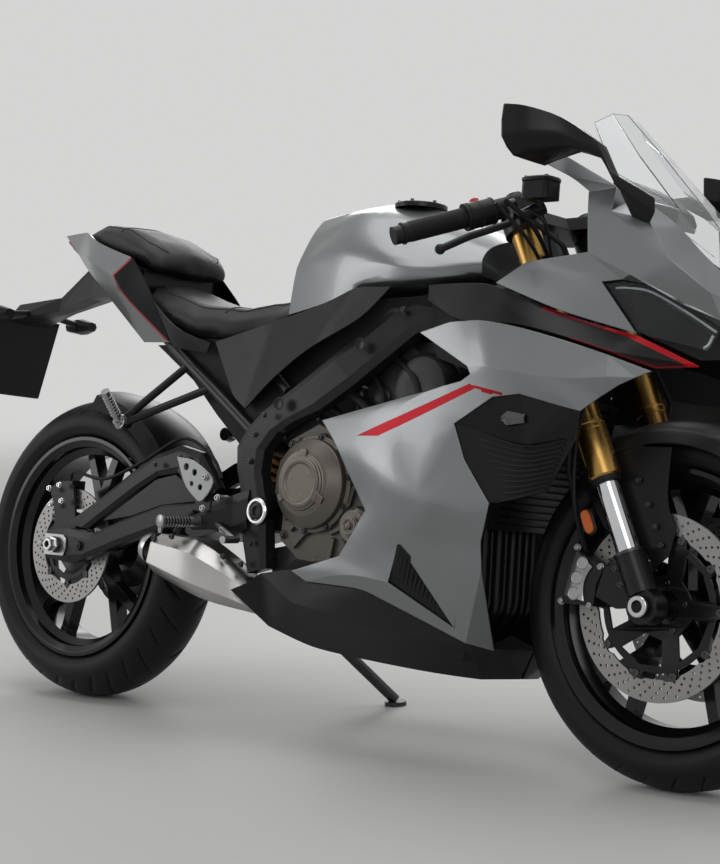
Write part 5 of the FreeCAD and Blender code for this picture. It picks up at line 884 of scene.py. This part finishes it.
def two_finishes(node, first, second, chosen):
    """Gives a CAD piece two finishes: the second where the face's middle passes a test of x, out and z."""
    mesh = nodes[node].data
    mesh.materials.clear()
    mesh.materials.append(first)
    mesh.materials.append(second)
    back = upright.inverted() @ nodes[node].matrix_world
    picks = []
    for face in mesh.polygons:
        middle = back @ face.center * 1000
        picks.append(1 if chosen(middle.x, abs(middle.y), middle.z) else 0)
    mesh.polygons.foreach_set("material_index", picks)


two_finishes("footrests", satin_black, bare_alloy, lambda x, out, z: out > 196 or (x < -505 and out > 154))
heel = [(-316, 507), (-271, 500), (-221, 474), (-214, 454), (-240, 424), (-262, 432), (-290, 457), (-316, 507)]
outline = [(spot.x, spot.y) for spot in smoothed([Vector(spot) for spot in heel])[:-1]]
holes = [round_loop(x, z, radius, 16) for x, z, radius in (
    (-288, 488, 7), (-264, 478, 6.5), (-270, 456, 5), (-246, 450, 6),
)]
for side, word in ((1, "right"), (-1, "left")):
    cut_plate("heel_guard_" + word, [outline] + holes, 4, "frame", peg_grey, lambda x, z, depth: on_bike(
        x, (186.5 + depth) * side, z,
    ))
pegs, rubbers = bmesh.new(), bmesh.new()
screws(pegs, [(-232, 190, 470), (-232, 190, 410), (-196, 188, 432), (-176, 188, 372)], 5.4)
for side in (1, -1):
    start, stop = on_bike(-248, 186 * side, 384), on_bike(-262, 268 * side, 380)
    way = (stop - start).normalized()
    for k in range(9):
        turned_piece(rubbers, start + way * (0.022 + 0.0066 * k), way, [
            (0, 9), (0.8, 11.6), (3.4, 11.6), (4.2, 9),
        ])
    turned_piece(pegs, stop, way, [(-4, 10), (-3, 12.5), (3, 12.5), (4, 11), (4, 0)], 18)
    turned_piece(pegs, stop - up_axis * 0.012, -up_axis, [(0, 4.5), (10, 4), (11, 0)], 10)
    start, stop = on_bike(-524, 156 * side, 572), on_bike(-512, 214 * side, 630)
    way = (stop - start).normalized()
    for k in range(7):
        turned_piece(pegs, start + way * (0.022 + 0.0074 * k), way, [
            (0, 8), (0.8, 10.6), (3.6, 10.6), (4.4, 8),
        ])
    turned_piece(pegs, start - way * 0.006, way, [(0, 0), (0, 13), (14, 13), (14, 10)])
finished("peg_fittings", pegs, "frame", bare_alloy)
finished("peg_rubbers", rubbers, "frame", black_rubber)


# Bodywork: moulded panels in silver-grey metallic lacquer with red and black paint, and grained black panels
# They clip and screw to the frame; the creases are crisp, and the faces between them are curved.
RED, DEEP_RED, BLACK = (0.26, 0.004, 0.01), (0.16, 0.004, 0.008), (0.012, 0.012, 0.013)
EDGE_RED, TAIL_RED = (0.45, 0.006, 0.014), (0.36, 0.006, 0.014)
CORNERS = ("A", "B", "C", "D")
GENTLE_FOLD, CURVE_LEVELS, FIT_ROUNDS, FIT_SHARE, PULL_REACH = 6, 2, 3, 0.7, 9
silver = finish("silver_metallic_lacquer", (0.205, 0.216, 0.222), 0.31, metallic=0.85, edge=0.0022, scale=2600,
                depth=0.00006, mottle=0.04, coat=0.35)


def vector_math(tree, operation, first, second):
    """A vector sum in a node tree."""
    return node_in(tree, "VectorMath", {0: first, 1: second}, operation=operation)


def plain_math(tree, operation, first, second, **settings):
    """A number sum in a node tree."""
    return node_in(tree, "Math", {0: first, 1: second}, operation=operation, **settings)["Value"]


bike_place, given, leave = new_group("bike_place", [], [("Place", "Vector")])
from_ground = vector_math(bike_place, "SUBTRACT", node_in(bike_place, "TexCoord")["Object"], ground_middle)["Vector"]
flat = node_in(bike_place, "CombineXYZ", {
    label: vector_math(bike_place, "DOT_PRODUCT", from_ground, axis * 1000)["Value"]
    for label, axis in (("X", forward_axis), ("Z", up_axis))
})
feed(bike_place, leave, {"Place": flat["Vector"]})

stroke, given, leave = new_group(
    "stroke", [(label, "Vector", (0, 0, 0)) for label in ("Place", "From", "To")] + [("Half", "Float", 3.0)],
    [("Mask", "Float")],
)
run = vector_math(stroke, "SUBTRACT", given["To"], given["From"])["Vector"]
offset = vector_math(stroke, "SUBTRACT", given["Place"], given["From"])["Vector"]
along = vector_math(stroke, "DOT_PRODUCT", run, offset)["Value"]
squared = vector_math(stroke, "DOT_PRODUCT", run, run)["Value"]
share = plain_math(stroke, "DIVIDE", along, squared, use_clamp=True)
foot = node_in(stroke, "VectorMath", {0: run, "Scale": share}, operation="SCALE")["Vector"]
aside = vector_math(stroke, "DISTANCE", offset, foot)["Value"]
feed(stroke, leave, {"Mask": plain_math(stroke, "LESS_THAN", aside, given["Half"])})

patch, given, leave = new_group(
    "patch", [(label, "Vector", (0, 0, 0)) for label in ("Place", *CORNERS)], [("Mask", "Float")]
)
heights = []
for first, second in zip(CORNERS, CORNERS[1:] + CORNERS[:1]):
    run = vector_math(patch, "SUBTRACT", given[second], given[first])["Vector"]
    offset = vector_math(patch, "SUBTRACT", given["Place"], given[first])["Vector"]
    turn = vector_math(patch, "CROSS_PRODUCT", offset, run)["Vector"]
    heights.append(node_in(patch, "SeparateXYZ", {"Vector": turn})["Y"])
inside = heights[0]
for height in heights[1:]:
    inside = plain_math(patch, "MINIMUM", inside, height)
feed(patch, leave, {"Mask": plain_math(patch, "GREATER_THAN", inside, 0)})


def painted(material, colour, metallic, strokes=(), patches=()):
    """Paint over a finish: lines given as two places and a half width, and four-cornered fields, in x and z."""
    tree = material.node_tree
    place = grouped(tree, bike_place)["Place"]
    marks = [
        grouped(tree, stroke, Place=place, From=(x1, 0, z1), To=(x2, 0, z2), Half=half)["Mask"]
        for (x1, z1), (x2, z2), half in strokes
    ] + [
        grouped(tree, patch, Place=place, **{label: (x, 0, z) for label, (x, z) in zip(CORNERS, field)})["Mask"]
        for field in patches
    ]
    mask = marks[0]
    for mark in marks[1:]:
        mask = plain_math(tree, "MAXIMUM", mask, mark)
    for label, kind, paint in (
        ("Base Color", "RGBA", (*colour, 1)), ("Metallic", "FLOAT", metallic), ("Coat Weight", "FLOAT", 0.0),
    ):
        socket = tree.nodes["Principled BSDF"].inputs[label]
        bare = socket.links[0].from_socket if socket.is_linked else socket.default_value
        over = node_in(tree, "Mix", {"Factor": mask, "A": bare, "B": paint}, data_type=kind)
        tree.links.new(over["Result"], socket)


def copied(material, name):
    """A finish of the same kind, to be painted."""
    twin = material.copy()
    twin.name = name
    return twin


def moulded(name, node, body, material, crease, pulled=()):
    """A moulded panel over its solid: the same corners, with faces that curve more freely at gentler folds."""
    coarse = bmesh.new()
    coarse.from_mesh(nodes[node].data)
    bmesh.ops.remove_doubles(coarse, verts=coarse.verts, dist=0.00005)
    bmesh.ops.dissolve_limit(
        coarse, angle_limit=math.radians(0.6), verts=coarse.verts, edges=coarse.edges, delimit=set()
    )
    for x, z, pull in pulled:
        for vertex in coarse.verts:
            place = upright.inverted() @ vertex.co * 1000
            if math.hypot(place.x - x, place.z - z) < PULL_REACH:
                vertex.co += outwards(1 if place.y < 0 else -1) * pull / 1000
    folds = coarse.edges.layers.float.new("crease_edge")
    for edge in coarse.edges:
        fold = math.degrees(edge.calc_face_angle(0)) if len(edge.link_faces) == 2 else 180
        edge[folds] = min(1, max(0, (fold - GENTLE_FOLD) / (crease - GENTLE_FOLD)))
        edge.smooth = fold < crease
    mesh = bpy.data.meshes.new(name)
    coarse.to_mesh(mesh)
    coarse.free()
    mesh.polygons.foreach_set("use_smooth", [True] * len(mesh.polygons))
    piece = as_piece(name, mesh, body, material)
    curved = piece.modifiers.new("curved", "SUBSURF")
    curved.levels = curved.render_levels = CURVE_LEVELS
    wanted = [vertex.co.copy() for vertex in mesh.vertices]
    for step in range(FIT_ROUNDS):
        shown = piece.evaluated_get(bpy.context.evaluated_depsgraph_get()).to_mesh()
        for vertex, corner, reached in zip(mesh.vertices, wanted, shown.vertices):
            vertex.co += (corner - reached.co) * FIT_SHARE
        piece.to_mesh_clear()
        mesh.update()
    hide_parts(node)


fairing_paint = copied(silver, "fairing_lacquer")
painted(
    fairing_paint, RED, 0.8,
    strokes=[((440, 643), (500, 631), 2.4), ((460, 637), (480, 633), 3.4)],
    patches=[[(170, 556), (228, 556), (446, 641), (430, 648)]],
)
tail_paint = copied(silver, "tail_lacquer")
painted(tail_paint, BLACK, 1.0, patches=[
    [(-588, 853), (-430, 739), (-250, 739), (-250, 912)], [(-602, 878), (-588, 853), (-250, 853), (-250, 912)],
    [(-602, 878), (-250, 878), (-250, 935), (-548, 935)],
])
painted(tail_paint, TAIL_RED, 0.1, strokes=[
    ((-565, 912), (-602, 878), 2.6), ((-602, 878), (-588, 853), 2.6), ((-588, 853), (-430, 739), 2.2),
])
cowl_paint = copied(black_plastic, "mid_cowl_paint")
painted(cowl_paint, DEEP_RED, 0.1, strokes=[
    ((540, 779), (717, 731), 4.0), ((613, 724), (690, 702), 3.4), ((690, 702), (766, 678), 3.4),
    ((766, 678), (803, 688), 3.2),
])
painted(cowl_paint, EDGE_RED, 0.1, strokes=[((706, 735), (804, 688), 5.2), ((660, 745), (717, 731), 2.2)])
moulded("fairing_shells", "side_fairings", "frame", fairing_paint, 14, (
    (245, 499, 5), (338, 462, 7), (386, 440, 6), (283, 372, -7), (201, 426, -6), (137, 342, -3),
))
moulded("nose_shells", "nose_cowls", "frame", silver, 20)
moulded("tail_shells", "tail_cowls", "frame", tail_paint, 22)
moulded("tank_shell", "fuel_tank", "frame", silver, 60)
moulded("belly_shells", "belly_pans", "frame", black_plastic, 34)
moulded("mid_shells", "mid_cowls", "frame", cowl_paint, 38)
moulded("cover_shells", "tank_covers", "frame", black_plastic, 38)
moulded("mudguard_shell", "front_mudguard", "fork", black_plastic, 55)
moulded("hugger_shell", "rear_mudguard", "frame", black_plastic, 45)
moulded("mirror_shells", "mirrors", "frame", black_plastic, 60)
moulded("silencer_shell", "muffler", "frame", brushed, 34)
finish_nodes(black_plastic, "plate_hanger", "instrument_pod", "intake_panels")
finish_nodes(caliper_black, "radiator")


# Inner panels: dark moulded liners behind the seams of the bodywork and between the tank's sides and the frame
# They close the gaps between the outer panels, which clip to them.
liner_black = finish("inner_panel_plastic", (0.008, 0.008, 0.0085), 0.6, scale=1200, depth=0.0003, gleam=0.2)


def thin_sheet(name, side, points, faces, material, thickness):
    """A thin sheet: points are x, out and z in the order of the letters that name them in each face."""
    places = [on_bike(x, out * side, z) for x, out, z in points]
    sheet = piece_from(
        name, places, [[ord(letter) - ord("a") for letter in face] for face in faces.split()], "frame", material
    )
    thick = sheet.modifiers.new("thickness", "SOLIDIFY")
    thick.thickness = thickness / 1000
    thick.offset = 0
    return sheet


def lining(name, material, points, faces, thickness=1.2):
    """The same thin sheet on both sides."""
    for side, word in ((1, "_right"), (-1, "_left")):
        thin_sheet(name + word, side, points, faces, material, thickness)


lining("side_liner", liner_black, [
    (-210, 124, 612), (-262, 118, 690), (-120, 122, 748), (20, 134, 786), (150, 140, 812), (262, 128, 818),
    (300, 112, 806), (196, 120, 760), (88, 128, 694), (-20, 130, 640), (-110, 132, 590), (-170, 130, 560),
], "abckl cdjk deij efhi fgh")
lining("wing_liner", liner_black, [
    (250, 138, 826), (354, 158, 822), (430, 168, 812), (574, 176, 764), (700, 160, 728), (786, 116, 690),
    (752, 180, 676), (684, 198, 692), (606, 204, 714), (500, 204, 738), (367, 190, 748), (262, 140, 760),
    (300, 170, 700), (420, 200, 668), (412, 200, 618), (474, 203, 618),
], "abkl bcjk cdij dehi efgh lknm kjn jpon")
lining("belly_liner", liner_black, [
    (-60, 176, 286), (10, 178, 330), (60, 180, 326), (160, 180, 326), (210, 176, 316), (400, 150, 246),
    (414, 100, 224), (404, 96, 180), (380, 140, 180), (260, 150, 220), (100, 164, 230), (0, 168, 240),
], "abl bckl cdk dejk efij fghi")
lining("nose_liner", liner_black, [
    (450, 176, 824), (574, 180, 780), (706, 166, 742), (800, 118, 700), (812, 60, 708), (806, 60, 790),
    (780, 140, 806), (690, 176, 840), (560, 178, 850),
], "abi bchi cdgh defg")
lining("tail_liner", liner_black, [
    (-486, 104, 736), (-300, 112, 735), (-236, 116, 690), (-200, 118, 640), (-160, 118, 590), (-214, 112, 532),
    (-296, 108, 596), (-372, 106, 664),
], "abh bcgh cdg defg")
thin_sheet("air_guard", 1, [(430, 206, 628), (430, -206, 628), (392, -158, 796), (392, 158, 796)], "abcd",
           liner_black, 1.5)


# Intake and vent: a black duct whose lower half is a grille of fine slats, and a mesh in the low vent
# The slats are moulded with the duct; the mesh is pressed sheet behind the opening.
DUCT_EDGES = (
    ((412, 229, 576), (482, 212, 452)), ((528, 209, 548), (528, 205, 464)), ((608, 200, 560), (566, 188, 478)),
)
VENT_EDGES = (((283, 219, 366), (380, 176, 242)), ((262, 204, 308), (376, 172, 240)))
slats = bmesh.new()
for side in (1, -1):
    for edges, shares, lift, radius in (
        (DUCT_EDGES, [k / 10 for k in range(11)], 1.5, 1.7),
        (VENT_EDGES, [(k + 0.5) / 15 for k in range(15)], 1, 1.3),
    ):
        for share in shares:
            spots = [Vector(first).lerp(Vector(last), share) for first, last in edges]
            line = [on_bike(spot.x, (spot.y + lift) * side, spot.z) for spot in spots]
            cord(slats, smoothed(line, 5) if len(line) > 2 else line, radius, 6)
finished("grille_slats", slats, "frame", satin_black)


# Fastenings that show last: a row of screws on each side plate of the mudguard, and the tank's filler cap
# The mudguard is screwed to the fork legs' brackets; the cap is bolted into a recess in the top of the tank.
heads, cap, cap_heads = (bmesh.new() for _ in range(3))
screws(heads, [(678, 86, 506), (700, 86, 466), (716, 86, 431), (729, 86, 401)], 4)
turned_piece(cap, on_bike(96, 0, 1001), up_axis, [
    (0, 50), (8, 50), (9.5, 48), (9.5, 36), (8, 35), (8, 33), (10, 32), (12, 28), (12.5, 10), (12.5, 0),
], 48)
for k in range(6):
    forward, aside = at_angle(42, 60 * k + 15)
    turned_piece(cap_heads, on_bike(96 + forward, aside, 1009.5), up_axis, screw_head(3.4), 12)
finished("mudguard_screws", heads, "fork", dark_steel)
finished("filler_cap", cap, "frame", satin_black)
finished("filler_screws", cap_heads, "frame", dark_steel)


# Headlamps: black housings with three projectors in bright rings and a strip of light units along the brow
# The housing is moulded and clips in behind the nose; each projector is screwed to it.
LAMP_POINTS = [
    (657, 190, 817), (692, 188, 820), (732, 177, 814), (784, 155, 785), (826, 110, 753), (812, 118, 716),
    (737, 168, 733), (716, 176, 741),
]
LAMP_FACES = "abh bcgh cdg defg"
lamp_black = finish("lamp_housing_black", (0.006, 0.006, 0.0065), 0.25, edge=0.001, gleam=0.3)
lamp_mirror = finish("lamp_reflector", (0.62, 0.63, 0.65), 0.08, metallic=1.0, edge=0.0005)
strip_white = finish("lamp_strip", (0.72, 0.74, 0.76), 0.25, edge=0.0008, coat=0.6)
lens_glass = finish("projector_glass", (0.05, 0.055, 0.065), 0.05, edge=0.0005, coat=1.0)
lining("lamp_housing", lamp_black, [(x - 10.8, out - 24, z) for x, out, z in LAMP_POINTS], LAMP_FACES, 2)
strips, bezels, lamp_rings, eyes = (bmesh.new() for _ in range(4))
for side in (1, -1):
    for points in (
        ((672, 182, 812), (694, 180, 812), (732, 170, 806), (782, 148, 778), (818, 106, 748)),
        ((814, 108, 742), (804, 116, 722), (776, 138, 724)),
    ):
        cord(strips, smoothed([on_bike(x - 4, (out - 7) * side, z) for x, out, z in points]), 2.1, 8)
        cord(bezels, smoothed([on_bike(x - 6, (out - 9) * side, z - 5) for x, out, z in points]), 3.4, 8)
    aim = forward_axis * 0.72 + outwards(side) * 0.69
    for x, out, z, size in ((745, 150, 768, 20), (790, 122, 746, 14), (708, 166, 780, 10)):
        place = on_bike(x - 14, (out - 16) * side, z)
        turned_piece(bezels, place, aim, [
            (-6, size + 5), (10, size + 5), (12, size + 3.5), (11, size + 1), (2, size - 3),
        ], 32)
        turned_piece(lamp_rings, place, aim, [(9.5, size + 1), (10.5, size), (7, size - 2), (3, size - 4)], 32)
        turned_piece(eyes, place, aim, [(2, size - 2), (6, size - 3), (9, size * 0.5), (10, 0)], 28)
finished("light_strips", strips, "frame", strip_white)
finished("lamp_bezels", bezels, "frame", lamp_black)
finished("lamp_rings", lamp_rings, "frame", lamp_mirror)
finished("projector_lenses", eyes, "frame", lens_glass)


# Clear parts: the blown screen, a cover over each headlamp, the red tail lens and the ends of the indicators
# The screen is screwed to the nose; the lenses are bonded to their housings' rims.
def clear_plastic(name, colour, roughness, see_through, bend=1.45):
    """A clear plastic with softened edges and a faint change of gloss."""
    material, tree, shader = new_material(name)
    gloss = node_in(tree, "MapRange", {
        "Value": grouped(tree, grain, Scale=60.0)["Mask"], "To Min": max(0.005, roughness - 0.015),
        "To Max": roughness + 0.03,
    })
    feed(tree, shader, {
        "Base Color": (*colour, 1), "Roughness": gloss["Result"], "Transmission Weight": see_through, "IOR": bend,
        "Normal": grouped(tree, soft_edge, Radius=0.001)["Normal"],
    })
    return material


screen_clear = clear_plastic("clear_screen", (0.9, 0.925, 0.935), 0.012, 0.99, 1.25)
lens_clear = clear_plastic("clear_lens", (0.8, 0.82, 0.84), 0.05, 0.9)
lens_red = clear_plastic("red_lens", (0.42, 0.008, 0.008), 0.08, 0.5)
lamp_clear = clear_plastic("lamp_cover", (0.8, 0.82, 0.84), 0.012, 0.99, 1.22)
finish_nodes(screen_clear, "windscreen")
finish_nodes(lens_red, "tail_lamp")
two_finishes("indicators", black_plastic, lens_clear, lambda x, out, z: (
    (-1010 < x < 0 and out > 150) or (x > 490 and out > 229)
))
for side, word in ((1, "right"), (-1, "left")):
    cover = thin_sheet("lamp_cover_" + word, side, LAMP_POINTS, LAMP_FACES, lamp_clear, 1.6)
    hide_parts("headlamps")


# Instruments and mirrors: a dark display behind glass, and a silvered glass in each mirror's back
# The display faces the rider; each glass is set in its shell's rim.
mirror_glass = finish("mirror_glass", (0.75, 0.77, 0.79), 0.02, metallic=1.0, edge=0.0005, depth=0.00001)
display = finish("display_glass", (0.012, 0.014, 0.018), 0.05, coat=1.0, edge=0.001)


def inset_glass(name, outline, material):
    """A glass set in a rim: the rim's outline in x, out and z, shrunk about its middle and moved back."""
    places = [on_bike(*spot) for spot in outline]
    middle = sum(places, Vector()) / len(places)
    glass, rim = bmesh.new(), bmesh.new()
    backwards = forward_axis * -0.002
    glass.faces.new([glass.verts.new(middle + (place - middle) * 0.9 + backwards) for place in places])
    stack(rim, [
        [rim.verts.new(middle + (place - middle) * share + backwards * depth) for place in places]
        for share, depth in ((0.985, 0.2), (0.975, 1.6), (0.915, 1.6), (0.9, 0.8))
    ], False, False)
    finished(name + "_glass", glass, "frame", material)
    finished(name + "_rim", rim, "frame", satin_black)


for side, word in ((1, "right"), (-1, "left")):
    inset_glass("mirror_" + word, [(x, out * side, z) for x, out, z in (
        (565, 372, 1083), (566, 376, 1056), (568, 376, 1030), (570, 362, 1014), (572, 345, 1003), (572, 262, 1003),
        (570, 246, 1014), (568, 236, 1030), (562, 240, 1078),
    )], mirror_glass)
inset_glass("display", [
    (578, 0, 1022), (578, 70, 1020), (584, 80, 990), (592, 70, 965), (592, -70, 965), (584, -80, 990),
    (578, -70, 1020),
], display)


# Seats: moulded foam under black vinyl, stretched and stapled to a tray, with stitched seams
# The rider's seat has a wide flat and low sides; the passenger's is a small pad with a seam across it.
VOXEL_SIZE, MOST_STRETCH, CLOTH_STEPS, SEAM_RADIUS = 0.006, 0.006, 20, 1.5
vinyl = finish("seat_vinyl", (0.0125, 0.0125, 0.013), 0.5, scale=1000, depth=0.0004, edge=0.003, gleam=0.35)
thread = finish("seat_thread", (0.03, 0.03, 0.032), 0.6, scale=2400, depth=0.0002, gleam=0.3)


def smooth_by(piece, factor, rounds):
    """Smooths a piece's shape a little."""
    eased = piece.modifiers.new("smoothed", "SMOOTH")
    eased.factor = factor
    eased.iterations = rounds


def applied(piece):
    """Takes the effect of a piece's modifiers into its mesh."""
    mesh = bpy.data.meshes.new_from_object(piece.evaluated_get(bpy.context.evaluated_depsgraph_get()))
    piece.modifiers.clear()
    piece.data = mesh


def cushion(name, node):
    """Foam under a cover: a slightly smaller copy of the solid, filled by pressure, its points held near it."""
    piece = bpy.data.objects.new(name, nodes[node].data.copy())
    bpy.context.scene.collection.objects.link(piece)
    even = piece.modifiers.new("even", "REMESH")
    even.mode = "VOXEL"
    even.voxel_size = VOXEL_SIZE
    smooth_by(piece, 0.6, 14)
    applied(piece)
    piece.data.materials.clear()
    piece.data.materials.append(vinyl)
    start = [vertex.co.copy() for vertex in piece.data.vertices]
    cloth = piece.modifiers.new("cloth", "CLOTH")
    cloth.settings.use_pressure = True
    cloth.settings.uniform_pressure_force = 4
    cloth.settings.effector_weights.gravity = 0
    cloth.settings.quality = 4
    cloth.collision_settings.use_collision = False
    for step in range(1, CLOTH_STEPS + 1):
        bpy.context.scene.frame_set(step)
    applied(piece)
    bpy.context.scene.frame_set(1)
    for vertex, origin in zip(piece.data.vertices, start):
        moved = vertex.co - origin
        if moved.length > MOST_STRETCH:
            vertex.co = origin + moved.normalized() * MOST_STRETCH
    smooth_by(piece, 0.5, 8)
    finer = piece.modifiers.new("finer", "SUBSURF")
    finer.levels = finer.render_levels = 1
    applied(piece)
    piece.data.polygons.foreach_set("use_smooth", [True] * len(piece.data.polygons))
    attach(piece, "frame")
    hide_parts(node)
    return piece


def stitched(work, piece, line):
    """Adds a seam that follows a cushion: places in x and out, dropped on its skin from above."""
    skin = BVHTree.FromPolygons(
        [vertex.co for vertex in piece.data.vertices], [tuple(face.vertices) for face in piece.data.polygons]
    )
    path = []
    for spot in smoothed([Vector((x, out, 0)) for x, out in line], 8):
        hit, normal = skin.ray_cast(on_bike(spot.x, spot.y, 1150), -up_axis)[:2]
        if hit is not None:
            path.append(hit + normal * SEAM_RADIUS * 0.0002)
    cord(work, path, SEAM_RADIUS, 6)


rider = cushion("rider_cushion", "rider_seat")
passenger = cushion("passenger_cushion", "passenger_seat")
seams = bmesh.new()
for side in (1, -1):
    for piece, line in (
        (rider, ((-528, 60), (-470, 86), (-370, 98), (-260, 88), (-184, 62), (-150, 40))),
        (passenger, ((-780, 36), (-710, 66), (-610, 86), (-536, 88), (-512, 70))),
    ):
        stitched(seams, piece, [(x, out * side) for x, out in line])
stitched(seams, passenger, [(-640, -92), (-636, -50), (-634, 0), (-636, 50), (-640, 92)])
stitched(seams, rider, [(-300, -104), (-290, -50), (-286, 0), (-290, 50), (-300, 104)])
finished("seat_seams", seams, "frame", thread)


# Number-plate bracket: a black plastic board with five moulded ribs across it
# It is screwed under the tail and carries the rear indicators.
ribs = bmesh.new()
for share in (0.16, 0.32, 0.48, 0.64, 0.8):
    x, z = -1049 - share * 54, 812 - share * 172
    cord(ribs, [on_bike(x, -80, z), on_bike(x, 80, z)], 2.2, 8)
finished("plate_ribs", ribs, "frame", black_plastic)


# Stage: a pale floor that runs out into the pale surroundings, soft light from above and both sides
# The surroundings are bright to the camera and in reflections, and dimmer as a light.
BACKDROP = (0.66, 0.66, 0.655, 1)
FLOOR_RADIUS, FLOOR_STEPS = 30, 64
world = bpy.data.worlds.new("surroundings")
bpy.context.scene.world = world
world.use_nodes = True
tree = world.node_tree
rays = node_in(tree, "LightPath")
seen = plain_math(tree, "MAXIMUM", rays["Is Camera Ray"], rays["Is Glossy Ray"])
seen = plain_math(tree, "MAXIMUM", seen, rays["Is Transmission Ray"])
strength = node_in(tree, "MapRange", {"Value": seen, "To Min": 0.42, "To Max": 1.0})
feed(tree, tree.nodes["Background"], {"Color": BACKDROP, "Strength": strength["Result"]})

floor_finish, tree, shader = new_material("floor")
feed(tree, shader, {"Base Color": (0.62, 0.62, 0.61, 1), "Roughness": 0.6})
reach = node_in(tree, "VectorMath", {0: node_in(tree, "TexCoord")["Object"]}, operation="LENGTH")["Value"]
fade = node_in(tree, "MapRange", {"Value": reach, "From Min": 2.5, "From Max": 9.0}, interpolation_type="SMOOTHSTEP")
glow = node_in(tree, "Emission", {"Color": BACKDROP})
blend = node_in(tree, "MixShader", {"Fac": fade["Result"], 1: shader.outputs["BSDF"], 2: glow["Emission"]})
feed(tree, tree.nodes["Material Output"], {"Surface": blend["Shader"]})
floor_mesh = bpy.data.meshes.new("floor")
rim = [(*at_angle(FLOOR_RADIUS, 360 * k / FLOOR_STEPS), 0) for k in range(FLOOR_STEPS)]
floor_mesh.from_pydata(rim, [], [range(FLOOR_STEPS)])
floor_mesh.materials.append(floor_finish)
floor = bpy.data.objects.new("floor", floor_mesh)
bpy.context.scene.collection.objects.link(floor)


def soft_light(name, place, width, height, power):
    """A rectangular soft light that points at the middle of the machine."""
    lamp = bpy.data.lights.new(name, "AREA")
    lamp.shape = "RECTANGLE"
    lamp.size = width
    lamp.size_y = height
    lamp.energy = power
    holder = bpy.data.objects.new(name, lamp)
    bpy.context.scene.collection.objects.link(holder)
    holder.location = place
    holder.rotation_euler = (Vector((0, 0, 0.5)) - Vector(place)).to_track_quat("-Z", "Y").to_euler()


soft_light("overhead", (0.0, 0.2, 4.0), 4.0, 3.0, 66)
soft_light("right_front", (3.2, -3.0, 2.6), 2.0, 2.4, 40)
soft_light("left_back", (-2.5, 3.5, 2.6), 2.4, 2.0, 46)
soft_light("right_rear", (-3.4, -2.6, 1.8), 1.4, 2.0, 24)


# Camera: at the photograph's place to the machine's right, a little above the axles
# It has the photograph's long lens and its small tilt.
CAMERA_PLACE = Vector((2.5248, -2.9152, 0.8754))
CAMERA_YAW, CAMERA_DIP, CAMERA_ROLL = (math.radians(angle) for angle in (41.4, 4.61, -2.41))
lens = bpy.data.cameras.new("camera")
lens.sensor_width = 36
lens.lens = 82.72
camera = bpy.data.objects.new("camera", lens)
bpy.context.scene.collection.objects.link(camera)
camera.matrix_world = (
    Matrix.Translation(CAMERA_PLACE) @ Matrix.Rotation(CAMERA_YAW, 4, "Z")
    @ Matrix.Rotation(math.pi / 2 - CAMERA_DIP, 4, "X") @ Matrix.Rotation(CAMERA_ROLL, 4, "Z")
)
bpy.context.scene.camera = camera
bpy.context.scene.view_settings.view_transform = "Standard"
